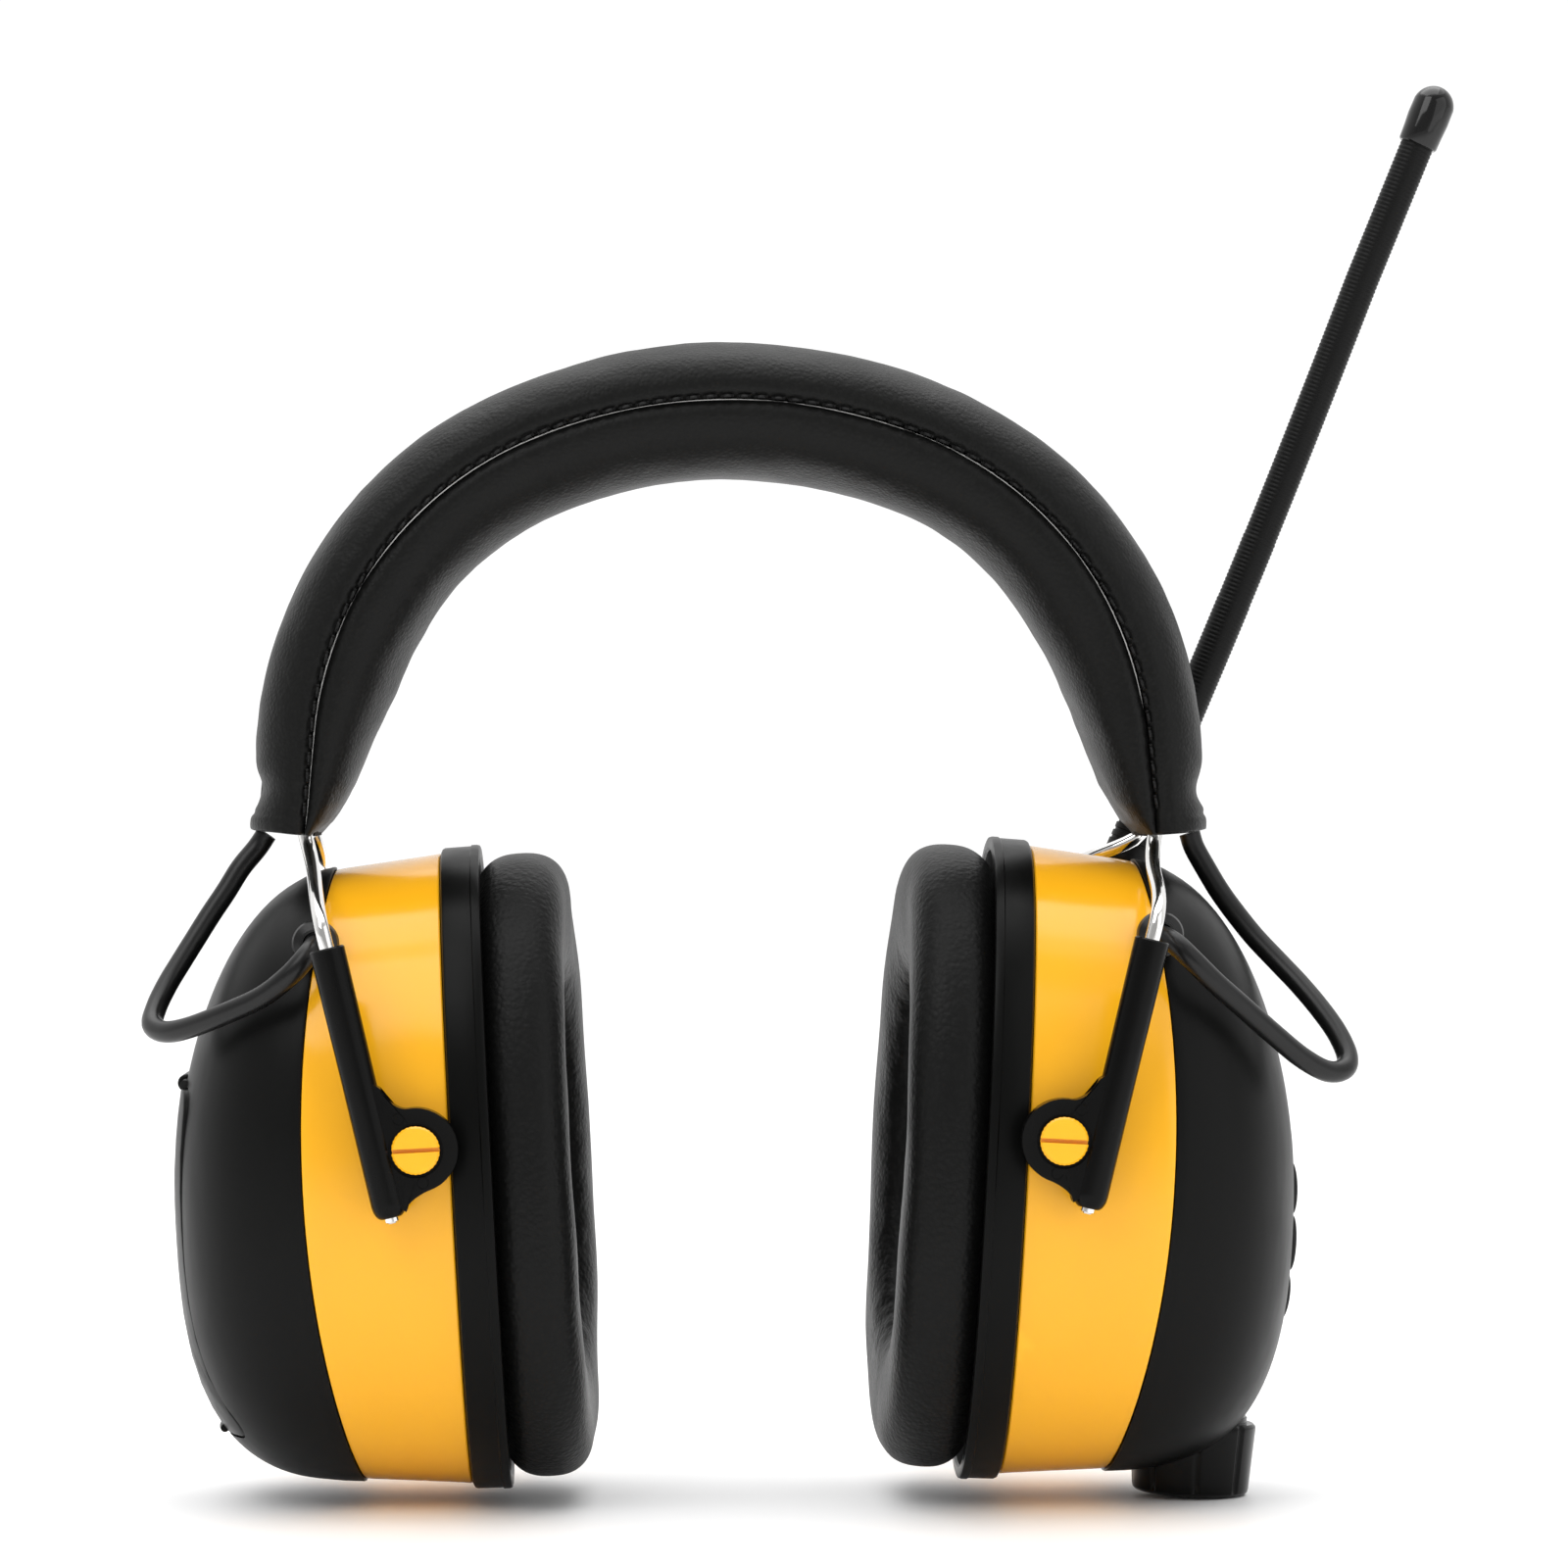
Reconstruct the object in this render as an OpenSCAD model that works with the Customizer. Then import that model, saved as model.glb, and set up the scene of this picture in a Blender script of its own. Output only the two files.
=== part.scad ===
// Hearing protector headset with a built-in radio: two ear cups on a
// padded sprung headband, a whip antenna, a cross cable, a battery box in
// the left cup and the radio in the right cup. Millimetres, +Z up, +X to
// the wearer's radio side, +Y to the back. The origin is midway between
// the two ear cushions, where the middle of the wearer's head goes.

/* [Ear cups] */
// Half the distance between the two cup base planes
cup_x = 48; // [46:0.5:52]
// Lean of each cup, top outwards
cup_tilt = 3; // [0:0.5:4]
// How much higher the radio cup is set than the battery cup
right_lift = 1.4; // [0:0.2:3]
// Half height of the cup outline
cup_hh = 54.4; // [54:0.2:55]
// Half depth of the cup outline, front to back
cup_hd = 42.6; // [42.2:0.1:42.8]
// Roundness of the cup outline: 2 is an ellipse, more is squarer
cup_n = 2.3; // [2.1:0.1:2.5]
// Thickness of the shell walls
wall = 2; // [1.6:0.1:2.4]
// Width of the yellow middle housing at mid height
band_w = 25; // [24:0.5:26]
// Radius of the curved split between middle housing and outer shell
split_r = 210; // [205:1:220]
// Height of the domed part of the outer shell
dome_h = 30.8; // [30:0.2:31]

/* [Ear cushions] */
// Thickness of the rim ring that the cushion clips to
rim_t = 6.8; // [6:0.2:7]
// Thickness of the ear cushion
cushion_t = 16.4; // [14:0.2:18]
// Half height of the ear opening
ear_hh = 31; // [28:1:32]
// Half depth of the ear opening
ear_hd = 19; // [17:1:20]

/* [Headband] */
// Height of the headband's seam line above the ear axis
arch_top = 132.2; // [130:0.2:135]
// Radius of the headband over the crown
crown_r = 88; // [86:1:90]
// Radius of the headband at its shoulders
shoulder_r = 60; // [58:1:62]
// Sideways set of the flexed headband against the cups
band_shift = -1; // [-2:0.5:0]
// Width of the headband, front to back
headband_w = 40; // [36:1:44]
// Thickness of the outer cover above the seam
cover_t = 10.3; // [10:0.1:12]
// Thickness of the pad below the seam
pad_t = 13; // [10:0.5:14]

/* [Wires and arms] */
// Diameter of the spring steel wires
wire_d = 2.5; // [2.4:0.1:2.6]
// Half spacing of the two wires inside the headband
wire_in_y = 15; // [13:0.5:16]
// Lean of the sliding arms
arm_tilt = 13.5; // [12:0.5:15]
// Length of a sliding arm's sleeve
arm_len = 46; // [44:1:48]
// Gap between the cup wall's widest point and the arms
arm_gap = 1.2; // [1.2:0.1:1.6]

/* [Radio] */
// Diameter of the whip antenna
whip_d = 6.2; // [5.8:0.1:6.6]
// Length of the antenna from its socket to its tip
whip_len = 147; // [120:1:150]
// Lean of the antenna away from the head
whip_tilt = 22.3; // [20:0.1:24]
// Diameter of the volume knob at its wide end
knob_d = 21.8; // [20:0.2:22]
// Height of the volume knob
knob_h = 12.5; // [11:0.5:13]
// Diameter of the cross cable
cable_d = 3.7; // [3.4:0.1:3.8]

/* [Hidden] */

black = [0.13, 0.13, 0.13];
soft_black = [0.09, 0.09, 0.09];
yellow = [0.97, 0.70, 0.16];
steel = [0.80, 0.80, 0.78];

// Clearance between pieces that move past each other
clear = 0.3;
// Radial clearance of a running fit
run = 0.05;
// Height of the straight part of the outer shell above the base plane
dome_base = 18;
// Height of the dome's highest point, below the middle of the cup
apex_z = -10;

// Pivot of the arms on the cup, in the cup's own frame
pivot_a = 5.5;
pivot_h = 6;
pin_r = 3.2;
pin_head_r = 4;
ring_r = 7;
plate_t = 3.8;
sleeve_r = 2.85;
arm_y = cup_hd + arm_gap;
wire_y = arm_y + sleeve_r;
wire_r = wire_d / 2;

// Mouth of the arm's sleeve at rest, on the right, before the lift
mouth_x = 68.6;
mouth_z = 39.15;
arm_dir = [-sin(arm_tilt), 0, -cos(arm_tilt)];

// The headband's seam line: crown arc, shoulder arcs and straight ends
crown_deg = 24;
shoulder_deg = 85;
tail = 17.5;
crown_z = arch_top - crown_r;
shoulder_x = (crown_r - shoulder_r) * sin(crown_deg);
shoulder_z = crown_z + (crown_r - shoulder_r) * cos(crown_deg);
cable_offset = 7.3;

// Battery door: panel in the dome, in the cup's own frame
door_top = 16.6;
door_bottom = -43;
door_hw = 20;
hinge_a = 45.6;
hinge_h = 17.4;
cell_a = 35.8;
cell_h = -11.5;
cell_r = 7.1;
cell_len = 49.2;

// Screws that hold each outer shell on, in depth and height
screw_spots = [for (y = [-27, 27], h = [-33, 33]) [y, h]];

// Places on the radio cup, in the cup's own frame
knob_a = 34;
knob_low = -56.3;
pocket_r = 12;
pocket_top = -41.8;
jack_a = 24;
jack_y = 18;
key_rows = [[-2.4, 9, 15], [-11.9, 9.6, 13], [-21, 8, 15]];
gland_a = 21;
gland_h = 40.7;
gland_r = 4;
gland_stem_r = 2.2;
gland_face = 31.5;
socket = [70.2, 25, 53];
boot_r = 4.3;
boot_foot = 7.5;

// Route of the cable's visible loop on the battery side
left_route = [[-81.1, 0, 57.8], [-82.7, 0, 55.4], [-85.5, -1, 51.9], [-88, -2.2, 47.8],
    [-90.6, -3.7, 43.8], [-93, -5.6, 39.8], [-95.3, -8, 35.9], [-97.5, -11, 32],
    [-99.1, -14.8, 28.2], [-99.4, -19, 25.4], [-96.9, -23.2, 24.4], [-92.6, -27.6, 25.3],
    [-86.5, -32.6, 27.7], [-80, -36.6, 30.7], [-75.3, -38.8, 34.3], [-72.3, -38.3, 37.6],
    [-71.1, -35.3, 39.3], [-71.1, -32, 39.5]];
// Route of the cable's visible loop on the radio side
right_route = [[79, 0, 57.9], [79.8, 0, 55.4], [81.7, -0.4, 51.9], [84.1, -1.2, 47.8],
    [86.9, -2.5, 43.8], [90, -4.3, 39.8], [93.6, -6.7, 35.8], [97.1, -9.5, 31.9],
    [100.3, -12.8, 27.8], [102.9, -16.2, 23.7], [104.2, -19.6, 20], [103.4, -22.6, 17.9],
    [100.2, -25.4, 17.6], [95.6, -28.6, 20], [90.3, -32.2, 24.2], [84.9, -35.6, 28.8],
    [80, -38, 33], [76, -39, 36.9], [73.2, -38, 39.6], [71.3, -35.3, 40.8],
    [71.1, -32, 40.9]];

function lift(side) = side > 0 ? right_lift : 0;
function spow(v, p) = sign(v) * pow(abs(v), p);
function oval(hh, hd, n = cup_n, count = 48) =
    [for (i = [0:count - 1]) let (t = 360 * i / count)
        [hd * spow(cos(t), 2 / n), hh * spow(sin(t), 2 / n)]];
// A point of the headband's arch at angle t from the crown, set out by o
function arch_point(t, o) = abs(t) <= crown_deg
    ? [(crown_r + o) * sin(t), crown_z + (crown_r + o) * cos(t)]
    : [sign(t) * shoulder_x + (shoulder_r + o) * sin(t), shoulder_z + (shoulder_r + o) * cos(t)];
function tail_point(s, o) = let (p = arch_point(s * shoulder_deg, o))
    [p.x + s * tail * cos(shoulder_deg), p.y - tail * sin(shoulder_deg)];
function arch_line(o) = concat([tail_point(-1, o)],
    [for (t = [-shoulder_deg:5:shoulder_deg]) arch_point(t, o)], [tail_point(1, o)]);
function backwards(list) = [for (i = [len(list) - 1:-1:0]) list[i]];

// Smooth dome of a cup, shrunk by s on every side: rings of points, closed at the apex
dome_rings = 9;
dome_sides = 48;
function corner_n(t) = let (up = (1 + sin(t)) / 2) 2.7 - 0.7 * up * up;
function dome_ring(k, s) = let (r = 90 * k / dome_rings)
    [for (i = [0:dome_sides - 1]) let (
        t = 360 * i / dome_sides,
        e = 2 / corner_n(t),
        c = pow(cos(r), e),
        y = (cup_hd - s) * spow(cos(t), 2 / cup_n),
        h = (cup_hh - s) * spow(sin(t), 2 / cup_n))
        [dome_base + (dome_h - s) * pow(sin(r), e), y * c, apex_z + (h - apex_z) * c]];
function foot_ring(s, low) = [for (p = dome_ring(0, s)) [low, p.y, p.z]];

module dome(s, low) {
    n = dome_sides;
    rings = dome_rings;
    points = concat(foot_ring(s, low), [for (k = [0:rings - 1]) each dome_ring(k, s)],
        [[dome_base + dome_h - s, 0, apex_z]]);
    sides = [for (k = [0:rings - 1], i = [0:n - 1])
        [k * n + i, k * n + (i + 1) % n, (k + 1) * n + (i + 1) % n, (k + 1) * n + i]];
    tip = [for (i = [0:n - 1]) [rings * n + i, rings * n + (i + 1) % n, (rings + 1) * n]];
    polyhedron(points = points, faces = concat([[for (i = [0:n - 1]) i]],
        [for (f = sides) backwards(f)], [for (f = tip) backwards(f)]), convexity = 4);
}

// Turns a drawing in y and z into a solid from a0 to a1 along the cup's own axis
module along_cup(a0, a1) {
    translate([a0, 0, 0])
        rotate([90, 0, 90])
        linear_extrude(height = a1 - a0) children();
}

module place_cup(side) {
    translate([0, 0, lift(side)])
        mirror([side > 0 ? 0 : 1, 0, 0])
        translate([cup_x, 0, 0])
        rotate([0, cup_tilt, 0]) children();
}

// A round bar between two points
module rod(p, q, r) {
    v = q - p;
    len = norm(v);
    translate(p)
        rotate([0, acos(v.z / len), atan2(v.y, v.x)])
        cylinder(h = len, r = r, $fn = 32);
}

// Points along the headband's arch, end to end, at offset o and depth y
function arch_route(o, y) = [for (p = arch_line(o)) [p.x + band_shift, y, p.y]];
// Points of a smooth bend from p, heading along u, to q, heading along v
function bend(p, u, q, v, n = 6) = [for (i = [1:n - 1]) let (t = i / n)
    (2 * t * t * t - 3 * t * t + 1) * p + (t * t * t - 2 * t * t + t) * u
    + (3 * t * t - 2 * t * t * t) * q + (t * t * t - t * t) * v];

// A slab of the headband between two offsets from the seam line
module arch_slab(o_in, o_out, hw) {
    rotate([90, 0, 0])
        translate([0, 0, -hw])
        linear_extrude(height = 2 * hw) polygon(concat(arch_line(o_out), backwards(arch_line(o_in))));
}

// A tube swept along a route of points
module tube(route, d, sides = 8) {
    n = len(route);
    function heading(i) = let (v = route[min(i + 1, n - 1)] - route[max(i - 1, 0)]) v / norm(v);
    ring = [for (i = [0:n - 1]) let (
        t = heading(i),
        u0 = cross(t, [0.3, 1, 0.2]),
        u = u0 / norm(u0),
        w = cross(t, u))
        for (k = [0:sides - 1]) route[i] + d / 2 * (cos(360 * k / sides) * u + sin(360 * k / sides) * w)];
    polyhedron(points = ring, faces = concat(
        [[for (k = [0:sides - 1]) k]],
        [for (i = [0:n - 2], k = [0:sides - 1])
            [i * sides + k, (i + 1) * sides + k, (i + 1) * sides + (k + 1) % sides, i * sides + (k + 1) % sides]],
        [[for (k = [sides - 1:-1:0]) (n - 1) * sides + k]]), convexity = 4);
}

// ---- Headband ----

module headband_cover() {
    color(black)
        translate([band_shift, 0, 0])
        difference() {
            arch_slab(1.6, cover_t, headband_w / 2);
            arch_slab(cable_offset - 2.1, cable_offset + 2.1, 2.2);
        }
}

module headband_pad() {
    color(black)
        translate([band_shift, 0, 0])
        arch_slab(-pad_t, -1.6, headband_w / 2);
}

module headband_core() {
    color(soft_black)
        translate([band_shift, 0, 0])
        arch_slab(-1.5, 1.5, wire_in_y - 2);
}

// One spring wire: through the headband, flaring out to the arms, and down inside their sleeves.
// On the radio side the back wire also bows inwards, round the boot of the antenna.
flare = 26;
boot_bow = 11;
function wire_mouth(side, s) = [side * mouth_x, s * wire_y, mouth_z + lift(side)];
function wire_dir(side) = [side * arm_dir.x, 0, arm_dir.z];
function bow_in(side, s, t) = side > 0 && s > 0 ? boot_bow * pow(sin(180 * pow(t, 0.72)), 2) : 0;
function wire_flare(side, s) = let (
    e = tail_point(side, 0),
    p = [e.x + band_shift, s * wire_in_y, e.y],
    d = wire_dir(side),
    q = wire_mouth(side, s) - 2 * d,
    down = [q.x - p.x, 0, q.z - p.z],
    n = 12,
    route = bend(p, flare * down / norm(down), q, flare * d, n))
    concat([for (i = [0:n - 2]) route[i] - [bow_in(side, s, (i + 1) / n), 0, 0]], [q]);

module wire(s) {
    color(steel) {
        tube(concat(backwards(wire_flare(-1, s)), arch_route(0, s * wire_in_y), wire_flare(1, s)),
            wire_d, 10);
        for (side = [-1, 1]) {
            mouth = wire_mouth(side, s);
            rod(mouth - 3 * wire_dir(side), mouth + (arm_len + 0.9) * wire_dir(side), wire_r);
        }
    }
}

module cable_left() { color(black) tube(left_route, cable_d); }
module cable_right() { color(black) tube(right_route, cable_d); }
module cable_inner() { color(black) tube(arch_route(cable_offset, 0), cable_d); }

// ---- Sliding arms ----

// The pivot's place in the row's frame, on the right, before the lift
pivot_x = cup_x + pivot_a * cos(cup_tilt) + pivot_h * sin(cup_tilt);
pivot_z = -pivot_a * sin(cup_tilt) + pivot_h * cos(cup_tilt);

module arm(side, s) {
    mouth = [mouth_x, wire_y, mouth_z];
    tip = mouth + arm_len * arm_dir;
    reach = (mouth_z - pivot_z) / cos(arm_tilt);
    // The sleeve's points level with the pivot ring's top and bottom
    high = mouth + (reach - 17) * arm_dir;
    low = mouth + (reach + 8) * arm_dir;
    color(black)
        translate([0, 0, lift(side)])
        mirror([side > 0 ? 0 : 1, 0, 0])
        mirror([0, s > 0 ? 0 : 1, 0])
        difference() {
            union() {
                rod(mouth, tip, sleeve_r);
                translate([pivot_x, arm_y, pivot_z])
                    rotate([-90, 0, 0]) cylinder(h = plate_t, r = ring_r, $fn = 64);
                translate([0, arm_y + plate_t, 0])
                    rotate([90, 0, 0])
                    linear_extrude(height = plate_t)
                    polygon([[high.x, high.z], [low.x, low.z],
                        [pivot_x - 1, pivot_z - ring_r + 0.1], [pivot_x - 5, pivot_z + 4.8]]);
            }
            rod(mouth - arm_dir, tip + arm_dir, wire_r + run);
            translate([pivot_x, arm_y - 1, pivot_z])
                rotate([-90, 0, 0]) cylinder(h = plate_t + 2, r = pin_r + run, $fn = 64);
        }
}

// ---- Parts that both cups have ----

module split_side() {
    translate([band_w - split_r, 0, 0])
        rotate([90, 0, 0])
        cylinder(h = 120, r = split_r, center = true, $fn = 360);
}

module pivot_hole(s) {
    translate([pivot_a, s * (cup_hd - 6), pivot_h])
        rotate([s > 0 ? -90 : 90, 0, 0]) cylinder(h = 12, r = pin_r - 0.6, $fn = 48);
}

module band(side) {
    color(yellow)
        difference() {
            place_cup(side) band_body();
            if (side > 0) boot_bore();
        }
}

module band_body() {
    difference() {
        intersection() {
            union() {
                along_cup(0, band_w + 1)
                    difference() {
                        polygon(oval(cup_hh, cup_hd));
                        polygon(oval(cup_hh - wall, cup_hd - wall));
                    }
                along_cup(12, 15) screw_lugs();
            }
            split_side();
        }
        for (s = [-1, 1]) pivot_hole(s);
        for (p = screw_spots)
            translate([10, p.x, p.y])
                rotate([0, 90, 0]) cylinder(h = 8, r = 1.5, $fn = 32);
        gland_bore();
    }
}

// Four lugs that reach from the wall to the screws
module screw_lugs() {
    intersection() {
        polygon(oval(cup_hh - 1, cup_hd - 1));
        for (p = screw_spots)
            translate(p)
                rotate(atan2(p.y, p.x)) {
                    circle(r = 3.6, $fn = 32);
                    translate([0, -3]) square([16, 6]);
                }
    }
}

// Hole for the gland's stem, and the recess that its disc sits in
module gland_bore() {
    translate([gland_a, 0, gland_h])
        rotate([90, 0, 0]) {
            translate([0, 0, 20]) cylinder(h = 22, r = gland_stem_r + run, $fn = 32);
            translate([0, 0, gland_face]) cylinder(h = 12, r = gland_r + run, $fn = 48);
        }
}

// Hole for the foot of the antenna's boot
module boot_bore() {
    on_antenna()
        translate([0, 0, -boot_foot - 1]) cylinder(h = boot_foot + 3, r = boot_r + run, $fn = 48);
}

module dome_shell() {
    difference() {
        dome(0, 10);
        dome(wall, 9);
    }
}

module screw_posts() {
    intersection() {
        for (p = screw_spots)
            translate([15.2, p.x, p.y])
                rotate([0, 90, 0]) cylinder(h = 26, r = 3.2, $fn = 24);
        dome(1, 9);
    }
}

module screw_pilots() {
    for (p = screw_spots)
        translate([15, p.x, p.y])
            rotate([0, 90, 0]) cylinder(h = 12, r = 1.35, $fn = 24);
}

module split_cut() {
    translate([band_w - split_r, 0, 0])
        rotate([90, 0, 0])
        cylinder(h = 120, r = split_r + 0.05, center = true, $fn = 360);
}

module door_outline(grow) {
    translate([door_bottom / 2 + door_top / 2, 0])
        square([door_top - door_bottom + 2 * grow, 2 * (door_hw + grow)], center = true);
}

// The door's prism through the shell, drawn in height and depth
module door_prism(grow) {
    translate([30, 0, 0])
        rotate([0, 90, 0])
        rotate([0, 0, 180])
        linear_extrude(height = 40) door_outline(grow);
}

module hinge_barrel(r, hw) {
    translate([hinge_a, -hw, hinge_h])
        rotate([-90, 0, 0]) cylinder(h = 2 * hw, r = r, $fn = 32);
}

module outer_shell_left() {
    color(black)
        place_cup(-1)
        resize([0, 0, 0])
        difference() {
            union() {
                difference() {
                    dome_shell();
                    door_prism(clear);
                    translate([40, -door_hw - clear, door_top]) cube([12, 2 * (door_hw + clear), 1.6]);
                }
                screw_posts();
                for (s = [-1, 1])
                    translate([43, s * 11 - 2.5, 16.4]) cube([3, 5, 3]);
            }
            split_cut();
            screw_pilots();
            hinge_barrel(0.85, 13.4);
            gland_bore();
            for (s = [-1, 1])
                translate([39.5, s * 11 - 3, 12]) cube([3.4, 6, 4.3]);
            hinge_barrel(1.9, 8);
        }
}

module battery_door() {
    color(black)
        place_cup(-1)
        resize([0, 0, 0])
        difference() {
            union() {
                intersection() {
                    dome_shell();
                    door_prism(0);
                }
                hinge_barrel(1.5, 7.6);
                translate([hinge_a - 1.4, -7.6, hinge_h - 2.4]) cube([2, 15.2, 2.2]);
            }
            hinge_barrel(0.85, 9);
            for (s = [-1, 1])
                translate([42, s * 11 - 3, 14.6]) cube([5, 6, 3]);
        }
}

module door_hinge_pin() {
    color(soft_black)
        place_cup(-1)
        hinge_barrel(0.75, 13);
}

module rim_ring(side) {
    color(black)
        place_cup(side)
        along_cup(-rim_t, 0)
        difference() {
            polygon(oval(cup_hh + 1, cup_hd + 0.7));
            polygon(oval(ear_hh + 7, ear_hd + 7));
        }
}

module ear_cushion(side) {
    face = -rim_t - cushion_t;
    color(soft_black)
        place_cup(side)
        union() {
            along_cup(face + 4, -rim_t)
                difference() {
                    polygon(oval(cup_hh - 0.6, cup_hd - 0.6));
                    polygon(oval(ear_hh, ear_hd));
                }
            along_cup(face, face + 4)
                difference() {
                    polygon(oval(cup_hh - 3.6, cup_hd - 3.6));
                    polygon(oval(ear_hh + 2, ear_hd + 2));
                }
        }
}

module baffle(side) {
    color(soft_black)
        place_cup(side)
        along_cup(0.1, 2)
        difference() {
            polygon(oval(cup_hh - wall - 0.2, cup_hd - wall - 0.2));
            circle(r = 17.2, $fn = 64);
            for (p = screw_spots) translate(p) circle(r = 3.2, $fn = 24);
        }
}

module foam(side) {
    color([0.25, 0.25, 0.26])
        place_cup(side)
        along_cup(-5, -1)
        polygon(oval(ear_hh + 6.8, ear_hd + 6.8));
}

module speaker(side) {
    color([0.3, 0.3, 0.32])
        place_cup(side)
        rotate([0, 90, 0])
        union() {
            translate([0, 0, 2.1]) cylinder(h = 2, r = 19, $fn = 64);
            translate([0, 0, -0.5]) cylinder(h = 2.6, r = 17, $fn = 64);
            translate([0, 0, 4.1]) cylinder(h = 3.4, r1 = 17, r2 = 11, $fn = 64);
            translate([0, 0, 7.5]) cylinder(h = 4, r = 9, $fn = 64);
        }
}

// Split snap-in pins that hold the arms on the cup
module pivot_pins(side) {
    head_y = arm_y + plate_t + clear;
    color(yellow)
        place_cup(side)
        for (s = [-1, 1])
            mirror([0, s > 0 ? 0 : 1, 0])
            translate([pivot_a, 0, pivot_h])
            rotate([-90, 0, 0])
            difference() {
                union() {
                    translate([0, 0, cup_hd + 0.02]) cylinder(h = head_y - cup_hd, r = pin_r, $fn = 64);
                    translate([0, 0, head_y]) cylinder(h = 1.5, r = pin_head_r, $fn = 64);
                    translate([0, 0, cup_hd - wall - 2]) cylinder(h = wall + 2.2, r = pin_r - 0.6, $fn = 48);
                }
                translate([-6, -0.35, head_y - 2]) cube([12, 0.7, 5]);
            }
}

module cable_gland(side) {
    color(black)
        place_cup(side)
        translate([gland_a, 0, gland_h])
        rotate([90, 0, 0])
        difference() {
            union() {
                translate([0, 0, gland_face + run]) cylinder(h = 2.4, r = gland_r, $fn = 48);
                translate([0, 0, 27]) cylinder(h = 5, r = gland_stem_r, $fn = 32);
            }
            translate([0, 0, 31.9]) cylinder(h = 3, r = cable_d / 2 + 0.5, $fn = 32);
        }
}

// Pan head screws that clamp the outer shell to the middle housing
module shell_screws(side) {
    color(steel)
        place_cup(side)
        for (p = screw_spots)
            translate([0, p.x, p.y])
                rotate([0, 90, 0]) {
                    translate([0, 0, 10]) cylinder(h = 1.95, r = 2.5, $fn = 32);
                    translate([0, 0, 11.95]) cylinder(h = 13, r = 1.25, $fn = 24);
                }
}

// ---- Battery side ----

module battery_tray() {
    floor_a = cell_a - cell_r - 1.8;
    color(soft_black)
        place_cup(-1)
        difference() {
            intersection() {
                translate([floor_a, -17.6, -39.5]) cube([11.6, 35.2, 56]);
                dome(wall + 0.7, 9);
            }
            translate([floor_a + 1.4, -16, -38]) cube([20, 32, 53]);
        }
}

module battery_cells() {
    color([0.75, 0.62, 0.38])
        place_cup(-1)
        for (s = [-1, 1])
            translate([cell_a, s * 7.7, cell_h])
                rotate([s > 0 ? 0 : 180, 0, 0]) {
                    translate([0, 0, -cell_len / 2]) cylinder(h = cell_len, r = cell_r, $fn = 48);
                    translate([0, 0, cell_len / 2]) cylinder(h = 1.3, r = 2.75, $fn = 32);
                }
}

module battery_contacts() {
    color(steel)
        place_cup(-1)
        for (h = [-37.9, 14.4])
            translate([cell_a - 6, -14, h]) cube([9.5, 28, 0.5]);
}

// ---- Radio side ----

// A key's prism, drawn in height and depth like the door's
module key_prism(k, a0, a1, grow) {
    row = key_rows[k];
    translate([a0, -row[2] / 2 - grow, row[0] - row[1] / 2 - grow])
        cube([a1 - a0, row[2] + 2 * grow, row[1] + 2 * grow]);
}

module lcd_prism(grow) {
    translate([38, -14 - grow, 7 - grow]) cube([14, 28 + 2 * grow, 15 + 2 * grow]);
}

module outer_shell_right() {
    color(black)
        resize([0, 0, 0])
        difference() {
            place_cup(1) shell_right_body();
            boot_bore();
        }
}

module shell_right_body() {
    difference() {
        union() {
            dome_shell();
            screw_posts();
            intersection() {
                dome(0, 10);
                translate([knob_a, 0, -64]) cylinder(h = 64 + pocket_top + 2, r = pocket_r + 1.8, $fn = 64);
            }
        }
        split_cut();
        screw_pilots();
        gland_bore();
        translate([knob_a, 0, -70]) cylinder(h = 70 + pocket_top, r = pocket_r, $fn = 64);
        translate([knob_a, 0, -60]) cylinder(h = 30, r = 3.4, $fn = 32);
        translate([jack_a, jack_y, -60]) cylinder(h = 24, r = 4.1, $fn = 32);
        for (k = [0:2]) key_prism(k, 40, 56, 0.25);
        lcd_prism(0);
    }
}

module lcd_window() {
    color([0.2, 0.22, 0.22])
        place_cup(1)
        resize([0, 0, 0])
        intersection() {
            dome_shell();
            lcd_prism(-0.1);
        }
}

module key(k, color_of) {
    tops = [48.95, 49.7, 49.35];
    row = key_rows[k];
    color(color_of)
        place_cup(1)
        intersection() {
            key_prism(k, 43, 52, 0);
            // The crowned top: a long cylinder along y for each key
            translate([tops[k] - 30, 0, row[0]])
                rotate([90, 0, 0])
                cylinder(h = 40, r = 30, center = true, $fn = 96);
        }
}

module main_board() {
    color([0.10, 0.35, 0.18])
        place_cup(1)
        difference() {
            translate([33, -24, -28]) cube([1.6, 48, 58]);
            for (p = screw_spots)
                translate([30, p.x, p.y])
                    rotate([0, 90, 0]) cylinder(h = 8, r = 5, $fn = 32);
        }
}

module tuner_can() {
    color(steel)
        place_cup(1)
        translate([28.9, -10, -4]) cube([4, 20, 16]);
}

module lcd_module() {
    color([0.3, 0.36, 0.32])
        place_cup(1)
        translate([34.7, -13, 7]) cube([5, 26, 14]);
}

module key_switches() {
    color(soft_black)
        place_cup(1)
        for (k = [0:2])
            translate([34.7, -3, key_rows[k][0] - 3]) {
                cube([4.5, 6, 6]);
                translate([4.5, 3, 3])
                    rotate([0, 90, 0]) cylinder(h = 2.9, r = 1.5, $fn = 32);
            }
}

module volume_control() {
    color([0.4, 0.4, 0.42])
        place_cup(1)
        translate([knob_a, 0, 0]) {
            translate([-7, -7, pocket_top + 2.4]) cube([6, 14, 8]);
            translate([0, 0, pocket_top + 2.4]) cylinder(h = 7, r = 7, $fn = 48);
            translate([0, 0, knob_low + 4.5]) cylinder(h = pocket_top + 2.4 - knob_low - 4.5, r = 3, $fn = 48);
        }
}

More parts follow.
